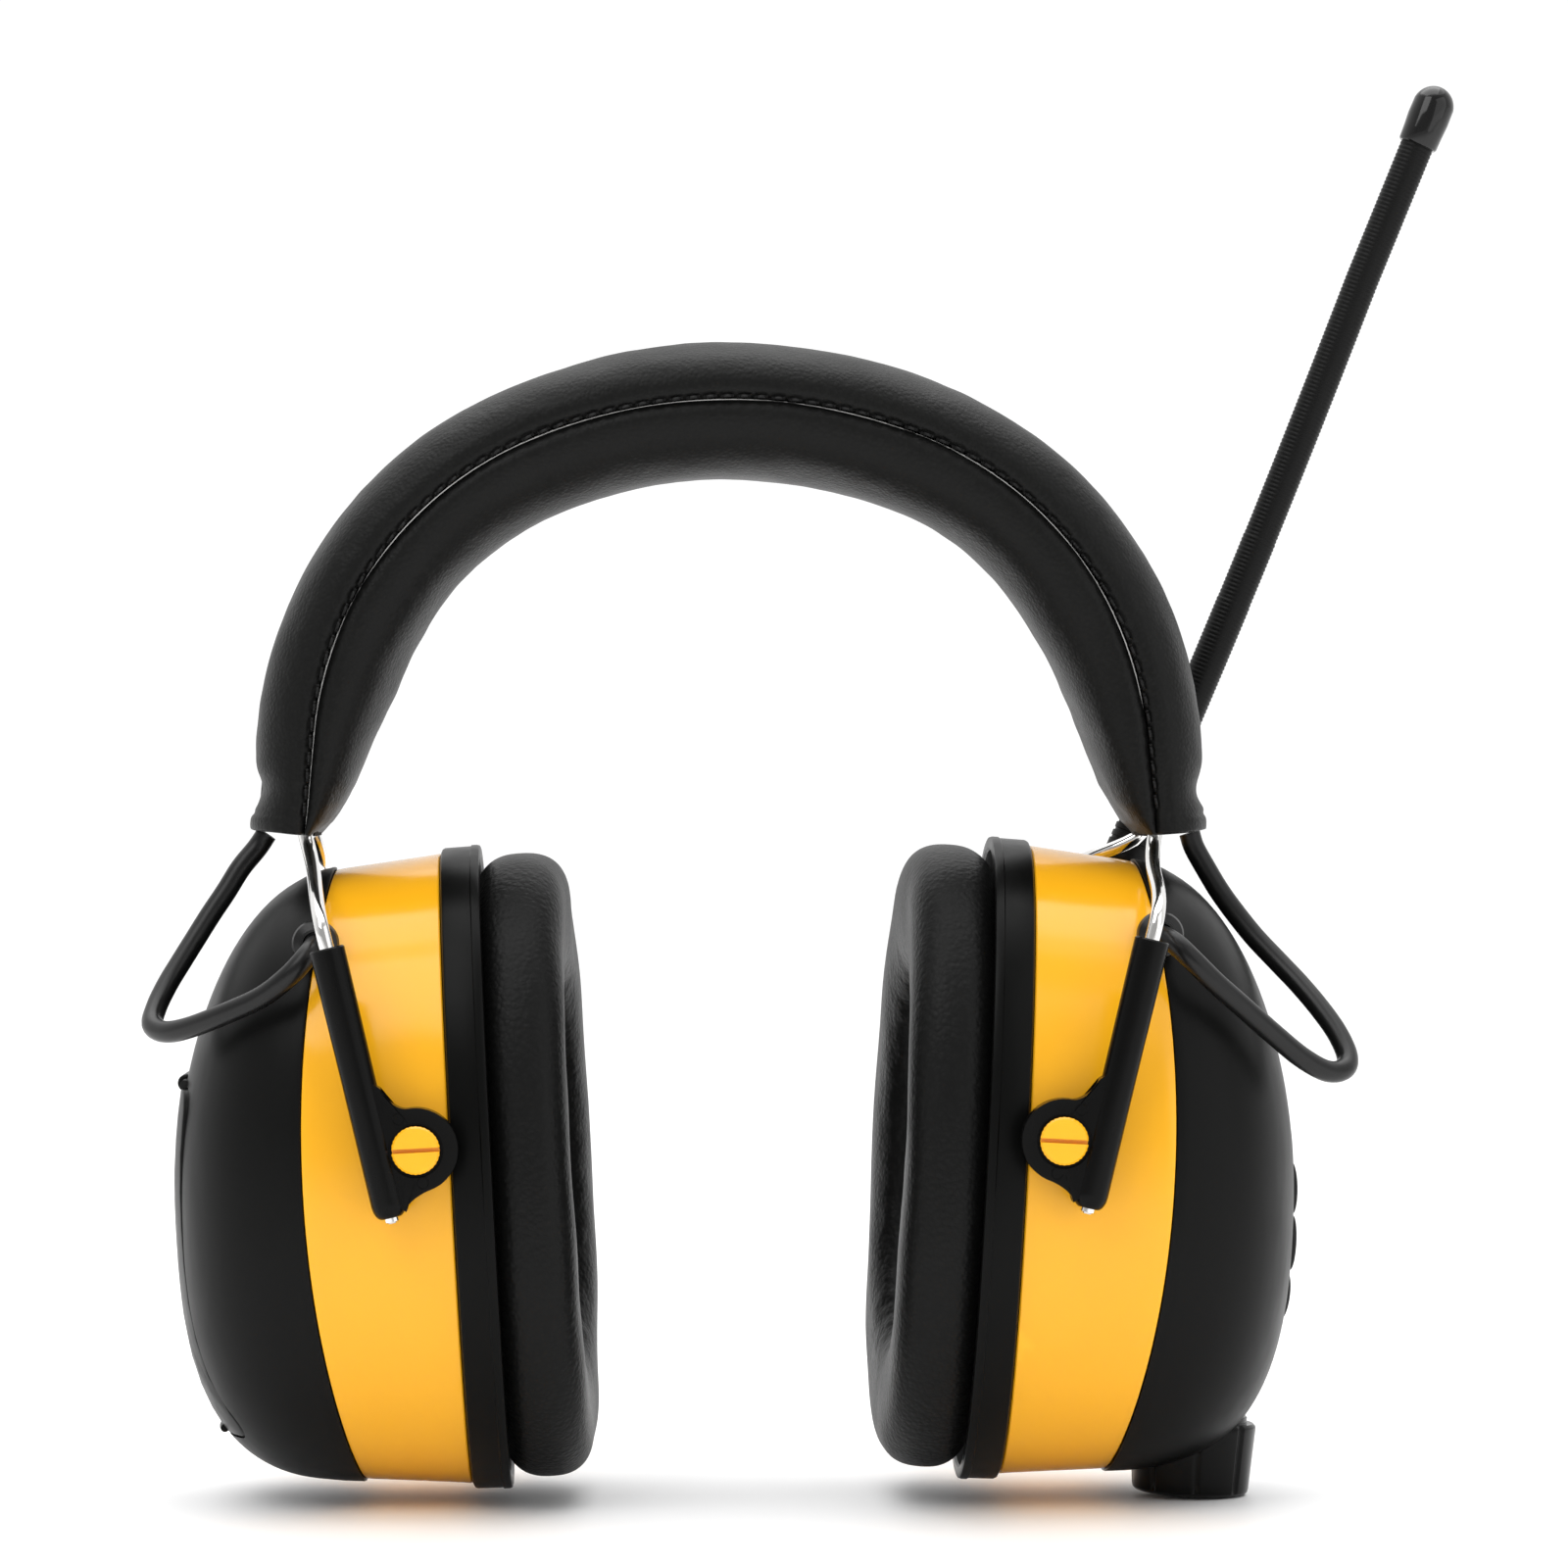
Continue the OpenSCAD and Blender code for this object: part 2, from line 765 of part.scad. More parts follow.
module aux_jack() {
    color(soft_black)
        place_cup(1)
        translate([jack_a, jack_y, -49])
        difference() {
            union() {
                cylinder(h = 11, r = 3.9, $fn = 48);
                translate([-4.5, -4.5, 9.6]) cube([9, 9, 6.4]);
            }
            translate([0, 0, -1]) cylinder(h = 15, r = 1.8, $fn = 48);
        }
}

// Places a child along the antenna's own axis, from its socket
module on_antenna() {
    translate([socket.x, socket.y, socket.z + right_lift])
        rotate([0, whip_tilt, 0]) children();
}

module antenna_base() {
    color(black)
        on_antenna()
        difference() {
            union() {
                translate([0, 0, -boot_foot]) cylinder(h = boot_foot, r = boot_r, $fn = 48);
                cylinder(h = 8, r1 = boot_r - 0.3, r2 = boot_r - 0.7, $fn = 48);
            }
            translate([0, 0, 2]) cylinder(h = 7, r = whip_d / 2, $fn = 48);
        }
}

module antenna_whip() {
    color(soft_black)
        on_antenna()
        difference() {
            translate([0, 0, 2]) cylinder(h = whip_len - 5, r = whip_d / 2, $fn = 48);
            translate([0, 0, whip_len - 11]) cylinder(h = 10, r = whip_d / 2 + 1, $fn = 48);
        }
}

module antenna_cap() {
    r = 3.9;
    color(black)
        on_antenna() {
            translate([0, 0, whip_len - 11]) cylinder(h = 11 - r, r = r, $fn = 48);
            translate([0, 0, whip_len - r]) sphere(r = r, $fn = 48);
        }
}

module volume_knob() {
    color(black)
        place_cup(1)
        translate([knob_a, 0, knob_low])
        difference() {
            union() {
                translate([0, 0, 1]) cylinder(h = knob_h - 1, r1 = knob_d / 2 - 0.8, r2 = knob_d / 2, $fn = 96);
                cylinder(h = 1, r1 = knob_d / 2 - 1.8, r2 = knob_d / 2 - 0.8, $fn = 96);
                translate([0, 0, knob_h]) cylinder(h = 1.2, r = knob_d / 2 - 1.6, $fn = 96);
            }
            translate([0, 0, 4.4]) cylinder(h = knob_h, r = 3 + run, $fn = 48);
        }
}

headband_cover();
headband_pad();
headband_core();
wire(-1);  // wire_front
wire(1);  // wire_back
cable_left();
cable_right();
cable_inner();
arm(-1, -1);  // arm_front_left
arm(-1, 1);  // arm_back_left
arm(1, -1);  // arm_front_right
arm(1, 1);  // arm_back_right
band(-1);  // band_left
outer_shell_left();
rim_ring(-1);  // rim_ring_left
ear_cushion(-1);  // ear_cushion_left
baffle(-1);  // baffle_left
foam(-1);  // foam_left
speaker(-1);  // speaker_left
pivot_pins(-1);  // pivot_pins_left
cable_gland(-1);  // cable_gland_left
shell_screws(-1);  // shell_screws_left
battery_tray();
battery_cells();
battery_contacts();
door_hinge_pin();
battery_door();
band(1);  // band_right
outer_shell_right();
rim_ring(1);  // rim_ring_right
ear_cushion(1);  // ear_cushion_right
baffle(1);  // baffle_right
foam(1);  // foam_right
speaker(1);  // speaker_right
pivot_pins(1);  // pivot_pins_right
cable_gland(1);  // cable_gland_right
shell_screws(1);  // shell_screws_right
main_board();
tuner_can();
lcd_module();
lcd_window();
key_switches();
volume_control();
aux_jack();
antenna_base();
antenna_whip();
antenna_cap();
key(0, black);  // key_up
key(1, black);  // key_center
key(2, black);  // key_down
volume_knob();
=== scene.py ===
from math import copysign, cos, exp, hypot, pi, radians, sin, sqrt

import bmesh
import bpy
from mathutils import Matrix, Vector, noise
from mathutils.bvhtree import BVHTree


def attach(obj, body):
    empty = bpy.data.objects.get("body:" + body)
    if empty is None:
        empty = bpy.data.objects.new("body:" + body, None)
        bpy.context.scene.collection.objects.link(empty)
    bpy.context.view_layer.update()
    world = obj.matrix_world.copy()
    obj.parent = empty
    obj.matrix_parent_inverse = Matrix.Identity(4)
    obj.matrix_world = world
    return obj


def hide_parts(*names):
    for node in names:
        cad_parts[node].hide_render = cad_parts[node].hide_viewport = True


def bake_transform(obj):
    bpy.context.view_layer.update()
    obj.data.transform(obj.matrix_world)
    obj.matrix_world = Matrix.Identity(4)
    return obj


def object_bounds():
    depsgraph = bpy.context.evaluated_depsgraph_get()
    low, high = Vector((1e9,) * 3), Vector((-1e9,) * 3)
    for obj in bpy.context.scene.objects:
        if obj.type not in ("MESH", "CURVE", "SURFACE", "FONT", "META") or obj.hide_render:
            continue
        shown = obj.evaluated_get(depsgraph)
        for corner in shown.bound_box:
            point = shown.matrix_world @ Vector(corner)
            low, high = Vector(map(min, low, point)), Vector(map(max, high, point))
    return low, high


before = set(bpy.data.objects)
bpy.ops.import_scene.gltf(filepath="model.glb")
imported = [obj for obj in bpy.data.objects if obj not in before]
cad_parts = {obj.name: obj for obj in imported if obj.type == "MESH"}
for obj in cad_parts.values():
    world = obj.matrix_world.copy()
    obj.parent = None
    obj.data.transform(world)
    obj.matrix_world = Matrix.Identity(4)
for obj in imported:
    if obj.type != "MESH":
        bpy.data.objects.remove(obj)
cad_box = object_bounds()
scene = bpy.context.scene

# ---- Driving dimensions in millimetres, the same as the CAD model's ----
MM = 0.001
SIDES = {"left": -1, "right": 1}
LIFT = {-1: 0.0, 1: 1.4}
CUP_X = 48.0
CUP_TILT = radians(3)
CUP_HH = 54.4
CUP_HD = 42.6
CUP_N = 2.3
WALL = 2.0
BAND_W = 25.0
SPLIT_R = 210.0
DOME_BASE = 18.0
DOME_H = 30.8
APEX_H = -10.0
DRAFT = 0.07
PART_GAP = 0.08
RIM_T = 6.8
CUSHION_T = 16.4
EAR_HH = 31.0
EAR_HD = 19.0
ARCH_TOP = 132.2
CROWN_R = 88.0
CROWN_TURN = radians(24)
SHOULDER_R = 60.0
SHOULDER_TURN = radians(85)
TAIL = 17.5
BAND_SHIFT = -1.0
HALF_W = 20.0
COVER_T = 10.3
CABLE_R = 1.85
WIRE_R = 1.25
WIRE_IN_Y = 15.0
FLARE = 26.0
BOOT_BOW = 11.0
ARM_TILT = radians(13.5)
ARM_LEN = 46.0
ARM_Y = 43.8
SLEEVE_R = 2.85
PLATE_T = 4.8
RING_R = 7.0
MOUTH = Vector((68.6, ARM_Y + SLEEVE_R, 39.15))
ARM_DIR = Vector((-sin(ARM_TILT), 0, -cos(ARM_TILT)))
PIVOT_A = 5.5
PIVOT_H = 6.0
PIN_HEAD_R = 4.0
DOOR_TOP = 16.6
DOOR_BOTTOM = -43.0
DOOR_HW = 20.0
HINGE_A = 45.6
HINGE_H = 17.4
KNOB_A = 34.0
KNOB_LOW = -56.3
KNOB_R = 10.9
KNOB_H = 12.5
POCKET_R = 12.0
POCKET_TOP = -41.8
# Middle height, height and width of each key
KEY_ROWS = {"key_up": (-2.4, 9.0, 15.0), "key_center": (-11.9, 9.6, 13.0), "key_down": (-21.0, 8.0, 15.0)}
GLAND_A = 21.0
GLAND_H = 40.7
SOCKET = Vector((70.2, 25, 54.4))
WHIP_TILT = radians(22.3)
WHIP_R = 3.1
WHIP_LEN = 147.0

TURN = 160
ANGLES = [2 * pi * i / TURN for i in range(TURN)]

# ---- Camera, in millimetres ----
CAMERA_PLACE = (-20.3, -1100, 66.4)
CAMERA_TARGET = (8.5, 0, 66.4)
CAMERA_LENS = 145.6
SENSOR = 36


def linked(name, data):
    """An object of that name and data, in the scene."""
    obj = bpy.data.objects.new(name, data)
    scene.collection.objects.link(obj)
    return obj


def aim(obj, place, target):
    """Stands an object at a place, in mm, looking at a target."""
    obj.location = Vector(place) * MM
    look = (Vector(target) - Vector(place)).normalized()
    obj.rotation_euler = look.to_track_quat("-Z", "Y").to_euler()


camera = linked("camera", bpy.data.cameras.new("camera"))
camera.data.lens = CAMERA_LENS
camera.data.sensor_width = SENSOR
camera.data.clip_start = 0.05
camera.data.clip_end = 50
aim(camera, CAMERA_PLACE, CAMERA_TARGET)
scene.camera = camera


# ---- Finishes ----

class Finish:
    """A procedural material: one Principled shader fed by textures in the row frame."""

    def __init__(self, name, **fixed):
        self.material = bpy.data.materials.new(name)
        self.material.use_nodes = True
        self.nodes = self.material.node_tree.nodes
        self.links = self.material.node_tree.links
        self.shader = self.nodes["Principled BSDF"]
        self.place = self.nodes.new("ShaderNodeTexCoord").outputs["Object"]
        for socket, value in fixed.items():
            self.shader.inputs[socket.replace("_", " ")].default_value = value

    def add(self, kind, inputs, **settings):
        node = self.nodes.new(kind)
        for key, value in settings.items():
            setattr(node, key, value)
        for socket, value in inputs.items():
            if isinstance(value, bpy.types.NodeSocket):
                self.links.new(value, node.inputs[socket])
            else:
                node.inputs[socket].default_value = value
        return node

    def noise(self, size, detail=3.0, stretch=(1, 1, 1)):
        """Soft noise whose blotches are about size mm wide."""
        place = self.add("ShaderNodeMapping", {"Vector": self.place, "Scale": stretch})
        inputs = {"Vector": place.outputs[0], "Scale": 1000 / size, "Detail": detail, "Roughness": 0.55}
        return self.add("ShaderNodeTexNoise", inputs).outputs["Fac"]

    def cells(self, size):
        """Rounded cells about size mm wide, bent a little so that they look grown."""
        bend = self.add("ShaderNodeTexNoise", {"Vector": self.place, "Scale": 500 / size, "Detail": 2.0})
        shift = self.add("ShaderNodeVectorMath", {0: bend.outputs["Color"], "Scale": size * 0.0008},
                         operation="SCALE")
        place = self.add("ShaderNodeVectorMath", {0: self.place, 1: shift.outputs[0]}, operation="ADD")
        inputs = {"Vector": place.outputs[0], "Scale": 1000 / size}
        return self.add("ShaderNodeTexVoronoi", inputs).outputs["Distance"]

    def span(self, value, low, high, to_low=0.0, to_high=1.0):
        inputs = {"Value": value, "From Min": low, "From Max": high, "To Min": to_low, "To Max": to_high}
        return self.add("ShaderNodeMapRange", inputs).outputs["Result"]

    def math(self, operation, a, b):
        return self.add("ShaderNodeMath", {0: a, 1: b}, operation=operation).outputs[0]

    def mix(self, share, a, b):
        inputs = {"Factor": share, 6: a, 7: b}
        return self.add("ShaderNodeMix", inputs, data_type="RGBA").outputs[2]

    def edges(self):
        """How much a place is an outer edge."""
        geometry = self.add("ShaderNodeNewGeometry", {})
        return self.span(geometry.outputs["Pointiness"], 0.52, 0.62)

    def paint(self, dark, light, share):
        """Colour between dark and light, with handled edges a little lighter."""
        body = self.mix(share, (*dark, 1), (*light, 1))
        edge = self.math("MULTIPLY", self.edges(), 0.35)
        pale = tuple(c * 1.3 + 0.004 for c in light)
        self.links.new(self.mix(edge, body, (*pale, 1)), self.shader.inputs["Base Color"])

    def gloss(self, share, low, high):
        self.links.new(self.span(share, 0.3, 0.7, low, high), self.shader.inputs["Roughness"])

    def relief(self, *layers):
        """Bump layers: each is a height and how deep it is, in mm."""
        last = None
        for height, depth in layers:
            inputs = {"Height": height, "Strength": 1.0, "Distance": depth * MM}
            if last is not None:
                inputs["Normal"] = last
            last = self.add("ShaderNodeBump", inputs).outputs["Normal"]
        self.links.new(last, self.shader.inputs["Normal"])


def leather(name, color, grain, depth, rough, sheen=0.0):
    """Pebbled leatherette: fine cells and broad colour drift, with painted shade that darkens the hollows
    between the cells.
    """
    f = Finish(name, Sheen_Weight=sheen, Sheen_Roughness=0.5, Specular_IOR_Level=0.14)
    pebble = f.span(f.cells(grain), 0.0, 0.75, 1.0, 0.0)
    fine = f.noise(grain * 0.45, 4.0)
    broad = f.noise(18, 3.0)
    # Painted shade: the colour darkens between the cells, where the grain's relief is lowest; the broad
    # drift on top is random tone.
    f.paint([c * 0.72 for c in color], [c * 1.25 for c in color], f.math("MULTIPLY", broad, pebble))
    f.gloss(f.math("MULTIPLY", f.math("ADD", broad, fine), 0.5), rough - 0.07, rough + 0.09)
    f.relief((pebble, depth), (fine, depth * 0.6), (broad, depth * 1.5))
    return f.material


def plastic(name, color, rough, grain, depth, level=0.5, drift=0.12, coat=0.0):
    """Moulded plastic: fine grain, slow colour drift and faint smears; level is its reflectance."""
    f = Finish(name, Coat_Weight=coat, Coat_Roughness=0.08, Specular_IOR_Level=level)
    broad = f.noise(22, 2.0)
    fine = f.noise(grain, 3.0)
    marks = f.noise(3.0, 5.0, (1, 1, 0.25))
    f.paint([c * (1 - drift) for c in color], [min(1, c * (1 + drift)) for c in color], broad)
    f.gloss(f.math("MULTIPLY", f.math("ADD", marks, broad), 0.5), rough - 0.05, rough + 0.06)
    f.relief((fine, depth), (broad, depth * 2))
    return f.material


def metal(name, color, rough, stretch=(1, 1, 1), size=0.8):
    """Drawn or stamped metal: streaks along the way it was worked."""
    f = Finish(name, Metallic=1.0)
    streak = f.noise(size, 5.0, stretch)
    broad = f.noise(14, 2.0)
    f.paint([c * 0.88 for c in color], color, broad)
    f.gloss(f.math("MULTIPLY", f.math("ADD", streak, broad), 0.5), rough * 0.6, rough * 1.5)
    f.relief((streak, 0.004))
    return f.material


def open_foam(name, color):
    """Open-cell foam: pores of two sizes, painted darker inside as shade."""
    f = Finish(name, Specular_IOR_Level=0.2, Roughness=0.95)
    pores = f.span(f.cells(0.9), 0.05, 0.5)
    fine = f.span(f.cells(0.35), 0.0, 0.5)
    # Painted shade: the colour darkens to a third inside the pores, where the relief is lowest.
    f.paint([c * 0.3 for c in color], color, f.math("MULTIPLY", pores, fine))
    f.gloss(f.noise(6), 0.85, 1.0)
    f.relief((pores, 0.25), (fine, 0.08))
    return f.material


def clear_lens(name):
    """Tinted display window."""
    f = Finish(name, Transmission_Weight=0.85, IOR=1.49, Coat_Weight=0.4)
    smear = f.noise(9, 4.0)
    f.paint((0.30, 0.33, 0.33), (0.42, 0.45, 0.45), smear)
    f.gloss(smear, 0.04, 0.10)
    f.relief((smear, 0.002))
    return f.material


def display(name):
    """Unlit liquid crystal panel: grey-green, with a fine grid of cells."""
    f = Finish(name, Specular_IOR_Level=0.4)
    grid = f.span(f.cells(0.5), 0.1, 0.6)
    f.paint((0.13, 0.17, 0.14), (0.24, 0.29, 0.24), f.math("MULTIPLY", grid, f.noise(12)))
    f.gloss(f.noise(3), 0.25, 0.4)
    f.relief((grid, 0.01))
    return f.material


FINISHES = {
    "leatherette": (leather, (0.0062, 0.0063, 0.0059), 0.75, 0.065, 0.44, 0.01),
    "cushion_skin": (leather, (0.0052, 0.0053, 0.0051), 1.0, 0.09, 0.44, 0.01),
    "foam": (open_foam, (0.03, 0.03, 0.031)),
    "spring_steel": (metal, (0.86, 0.85, 0.83), 0.10, (1, 1, 0.05), 0.5),
    "cable_rubber": (plastic, (0.006, 0.006, 0.006), 0.30, 0.5, 0.010, 0.3),
    "arm_plastic": (plastic, (0.0026, 0.0026, 0.0025), 0.24, 0.3, 0.005, 0.10),
    "yellow_plastic": (plastic, (0.98, 0.46, 0.012), 0.17, 0.5, 0.002, 0.42, 0.04),
    "shell_plastic": (plastic, (0.0046, 0.0047, 0.0045), 0.38, 0.22, 0.010, 0.10),
    "rim_plastic": (plastic, (0.0026, 0.0027, 0.0025), 0.32, 0.3, 0.008, 0.09),
    "knob_plastic": (plastic, (0.0022, 0.0022, 0.0020), 0.22, 0.3, 0.004, 0.12),
    "key_rubber": (plastic, (0.0080, 0.0080, 0.0080), 0.50, 0.25, 0.012, 0.24),
    "inner_plastic": (plastic, (0.012, 0.012, 0.012), 0.55, 0.4, 0.02, 0.2),
    "driver_metal": (metal, (0.33, 0.33, 0.35), 0.38),
    "screw_steel": (metal, (0.72, 0.71, 0.69), 0.25),
    "cell_jacket": (plastic, (0.030, 0.032, 0.036), 0.25, 0.4, 0.003, 0.5, 0.1, 0.4),
    "contact_metal": (metal, (0.80, 0.76, 0.66), 0.22),
    "board": (plastic, (0.015, 0.085, 0.030), 0.35, 0.6, 0.02, 0.5, 0.2, 0.3),
    "shield_metal": (metal, (0.70, 0.70, 0.69), 0.30, (6, 1, 1)),
    "lcd_glass": (clear_lens,),
    "lcd_panel": (display,),
    "antenna_rubber": (plastic, (0.0060, 0.0060, 0.0058), 0.40, 0.3, 0.012, 0.12),
    "antenna_gloss": (plastic, (0.003, 0.003, 0.003), 0.12, 0.5, 0.001, 0.3, 0.1, 0.25),
    "thread": (plastic, (0.004, 0.004, 0.004), 0.42, 0.15, 0.03, 0.2),
}
MADE = {}


def finish(name):
    """The material of that name, made once."""
    if name not in MADE:
        make, *values = FINISHES[name]
        MADE[name] = make(f"{name}_finish", *values)
    return MADE[name]


# ---- Mesh helpers: every point is in millimetres in the row frame ----

def spow(value, power):
    return copysign(abs(value) ** power, value)


def clamp(value):
    return max(0.0, min(1.0, value))


def oval(angle, half_y, half_h):
    """A point of an oval with the cups' form, in y and h."""
    return half_y * spow(cos(angle), 2 / CUP_N), half_h * spow(sin(angle), 2 / CUP_N)


def cup(side, a, y, h):
    """A point of a cup's own frame: a out from its base plane, y back, h up."""
    x = CUP_X + a * cos(CUP_TILT) + h * sin(CUP_TILT)
    z = -a * sin(CUP_TILT) + h * cos(CUP_TILT) + LIFT[side]
    return Vector((side * x, y, z))


def loft(rings, loop=False):
    """A surface through closed rings of points. It closes on itself, or with a fan at both ends."""
    count = len(rings[0])
    points = [Vector(p) for ring in rings for p in ring]
    faces = []
    for i in range(len(rings) if loop else len(rings) - 1):
        low = i * count
        high = (i + 1) % len(rings) * count
        for k in range(count):
            follow = (k + 1) % count
            faces.append((low + k, low + follow, high + follow, high + k))
    if not loop:
        for start in (0, (len(rings) - 1) * count):
            middle = len(points)
            points.append(sum((points[start + k] for k in range(count)), Vector()) / count)
            faces += [(start + k, start + (k + 1) % count, middle) for k in range(count)]
    return points, faces


def joined(*shapes):
    points, faces = [], []
    for more_points, more_faces in shapes:
        start = len(points)
        points += more_points
        faces += [tuple(i + start for i in face) for face in more_faces]
    return points, faces


def moved(shape, place):
    """The shape with every point put through place."""
    points, faces = shape
    return [place(Vector(p)) for p in points], faces


def revolved(profile, sides=48, teeth=None):
    """A turned shape about z: profile holds (radius, z) from one end to the other."""
    rings = []
    for radius, z in profile:
        ring = []
        for k in range(sides):
            angle = 2 * pi * k / sides
            r = radius * (teeth(angle, z) if teeth else 1)
            ring.append((r * cos(angle), r * sin(angle), z))
        rings.append(ring)
    return loft(rings)


def frames(route):
    """For each point of a route, its heading and two sideways directions that don't twist."""
    headings = []
    for i in range(len(route)):
        ahead = route[min(i + 1, len(route) - 1)]
        behind = route[max(i - 1, 0)]
        headings.append((ahead - behind).normalized())
    across = headings[0].orthogonal().normalized()
    result = []
    for heading in headings:
        across = (across - heading * across.dot(heading)).normalized()
        result.append((heading, across, heading.cross(across)))
    return result


def tube(route, radius, sides=16):
    """A round tube along a route; radius is a number, or a function of the point's number."""
    route = [Vector(p) for p in route]
    rings = []
    for i, (point, (_, u, v)) in enumerate(zip(route, frames(route))):
        r = radius(i) if callable(radius) else radius
        turn = [2 * pi * k / sides for k in range(sides)]
        rings.append([point + u * (r * cos(t)) + v * (r * sin(t)) for t in turn])
    return loft(rings)


def smooth_route(points, steps=8):
    """The route through the given points, as a Catmull-Rom curve."""
    points = [Vector(p) for p in points]
    ends = [points[0] * 2 - points[1]] + points + [points[-1] * 2 - points[-2]]
    route = []
    for a, b, c, d in zip(ends, ends[1:], ends[2:], ends[3:]):
        for k in range(steps):
            t = k / steps
            curve = 2 * b + (c - a) * t + (2 * a - 5 * b + 4 * c - d) * t * t
            route.append((curve + (3 * b - a - 3 * c + d) * t ** 3) / 2)
    return route + [points[-1]]


def hermite(p, u, q, v, count):
    """Points of a smooth bend from p, heading along u, to q, heading along v."""
    route = []
    for i in range(count + 1):
        t = i / count
        a, b = 2 * t ** 3 - 3 * t ** 2 + 1, t ** 3 - 2 * t ** 2 + t
        route.append(p * a + u * b + q * (1 - a) + v * (t ** 3 - t ** 2))
    return route


def shade(obj, sharp=35):
    mesh = obj.data
    mesh.polygons.foreach_set("use_smooth", [True] * len(mesh.polygons))
    mesh.set_sharp_from_angle(angle=radians(sharp))


def solid(shape, name="tool"):
    """A mesh object from a shape, with its faces looking out."""
    points, faces = shape
    mesh = bpy.data.meshes.new(name)
    mesh.from_pydata([Vector(p) * MM for p in points], [], faces)
    work = bmesh.new()
    work.from_mesh(mesh)
    bmesh.ops.remove_doubles(work, verts=work.verts, dist=0.002 * MM)
    bmesh.ops.recalc_face_normals(work, faces=work.faces)
    work.to_mesh(mesh)
    work.free()
    return linked(name, mesh)


def settle(obj):
    """Applies a piece's modifiers to its mesh."""
    graph = bpy.context.evaluated_depsgraph_get()
    mesh = bpy.data.meshes.new_from_object(obj.evaluated_get(graph))
    obj.modifiers.clear()
    obj.data = mesh


def carve(obj, shape, operation="DIFFERENCE"):
    """Cuts a shape from a piece, or joins it on, or keeps what both fill."""
    tool = solid(shape)
    modifier = obj.modifiers.new("carve", "BOOLEAN")
    modifier.operation = operation
    modifier.solver = "EXACT"
    modifier.object = tool
    settle(obj)
    bpy.data.objects.remove(tool)


def taken(obj):
    """Removes a piece and returns its mesh as a shape."""
    points = [v.co / MM for v in obj.data.vertices]
    faces = [tuple(f.vertices) for f in obj.data.polygons]
    bpy.data.objects.remove(obj)
    return points, faces


def rounded(obj, width, segments):
    """Rounds a piece's sharp edges."""
    modifier = obj.modifiers.new("rounded", "BEVEL")
    modifier.width = width * MM
    modifier.segments = segments
    modifier.limit_method = "ANGLE"
    modifier.angle_limit = radians(40)
    settle(obj)


def softened(obj):
    """Subdivides a piece once."""
    modifier = obj.modifiers.new("soft", "SUBSURF")
    modifier.levels = modifier.render_levels = 1
    settle(obj)


def finished(obj, slot, body, *nodes, sharp=35):
    """Gives a piece its finish, its body and the CAD nodes that it stands for."""
    obj.data.materials.clear()
    obj.data.materials.append(finish(slot))
    shade(obj, sharp)
    if nodes:
        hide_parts(*nodes)
    if body:
        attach(obj, body)


def ripple(obj, size, depth, share=lambda p: 1.0, seed=0.0):
    """Moves a piece's skin in and out with smooth noise, in mm."""
    obj.data.update()
    normals = [v.normal.copy() for v in obj.data.vertices]
    for vertex, normal in zip(obj.data.vertices, normals):
        p = vertex.co / MM
        where = Vector((p.x / size[0], p.y / size[1], p.z / size[2] + seed))
        vertex.co += normal * (noise.noise(where) * depth * share(p) * MM)


# ---- The cable's two visible loops, first: routes in metres, as in the CAD source ----

LEFT_ROUTE = [(-.0811, 0, .0578), (-.0827, 0, .0554), (-.0855, -.001, .0519), (-.088, -.0022, .0478),
              (-.0906, -.0037, .0438), (-.093, -.0056, .0398), (-.0953, -.008, .0359), (-.0975, -.011, .032),
              (-.0991, -.0148, .0282), (-.0994, -.019, .0254), (-.0969, -.0232, .0244),
              (-.0926, -.0276, .0253), (-.0865, -.0326, .0277), (-.080, -.0366, .0307),
              (-.0753, -.0388, .0343), (-.0723, -.0383, .0376), (-.0711, -.0353, .0393),
              (-.0711, -.032, .0395)]
RIGHT_ROUTE = [(.079, 0, .0579), (.0798, 0, .0554), (.0817, -.0004, .0519), (.0841, -.0012, .0478),
               (.0869, -.0025, .0438), (.090, -.0043, .0398), (.0936, -.0067, .0358), (.0971, -.0095, .0319),
               (.1003, -.0128, .0278), (.1029, -.0162, .0237), (.1042, -.0196, .020), (.1034, -.0226, .0179),
               (.1002, -.0254, .0176), (.0956, -.0286, .020), (.0903, -.0322, .0242), (.0849, -.0356, .0288),
               (.080, -.038, .033), (.076, -.039, .0369), (.0732, -.038, .0396), (.0713, -.0353, .0408),
               (.0711, -.032, .0409)]
LOOP_STEPS = 8
LOOP_SIDES = 20
LEFT_BEND, RIGHT_BEND = 9, 11


def cable_loop(name, hand_route, bend_at):
    """A loop in two pieces that meet at the given point bend_at."""
    route = smooth_route([Vector(p) / MM for p in hand_route], LOOP_STEPS)
    middle = bend_at * LOOP_STEPS
    points = tube(route, CABLE_R, LOOP_SIDES)[0]
    for label, first, last, bodies in (
            ("upper", 0, middle, ("headband", f"yoke_{name}")),
            ("lower", middle, len(route) - 1, (f"yoke_{name}", f"cup_{name}"))):
        part = [points[i * LOOP_SIDES:(i + 1) * LOOP_SIDES] for i in range(first, last + 1)]
        piece = solid(loft(part), f"cable_{name}_{label}")
        finished(piece, "cable_rubber", None, f"cable_{name}")
        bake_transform(piece)


cable_loop("left", LEFT_ROUTE, LEFT_BEND)
cable_loop("right", RIGHT_ROUTE, RIGHT_BEND)


# ---- Headband ----

CROWN_LEN = CROWN_R * CROWN_TURN
SHOULDER_LEN = SHOULDER_R * (SHOULDER_TURN - CROWN_TURN)
HALF_LEN = CROWN_LEN + SHOULDER_LEN + TAIL
SEAM_Y = HALF_W - 0.5


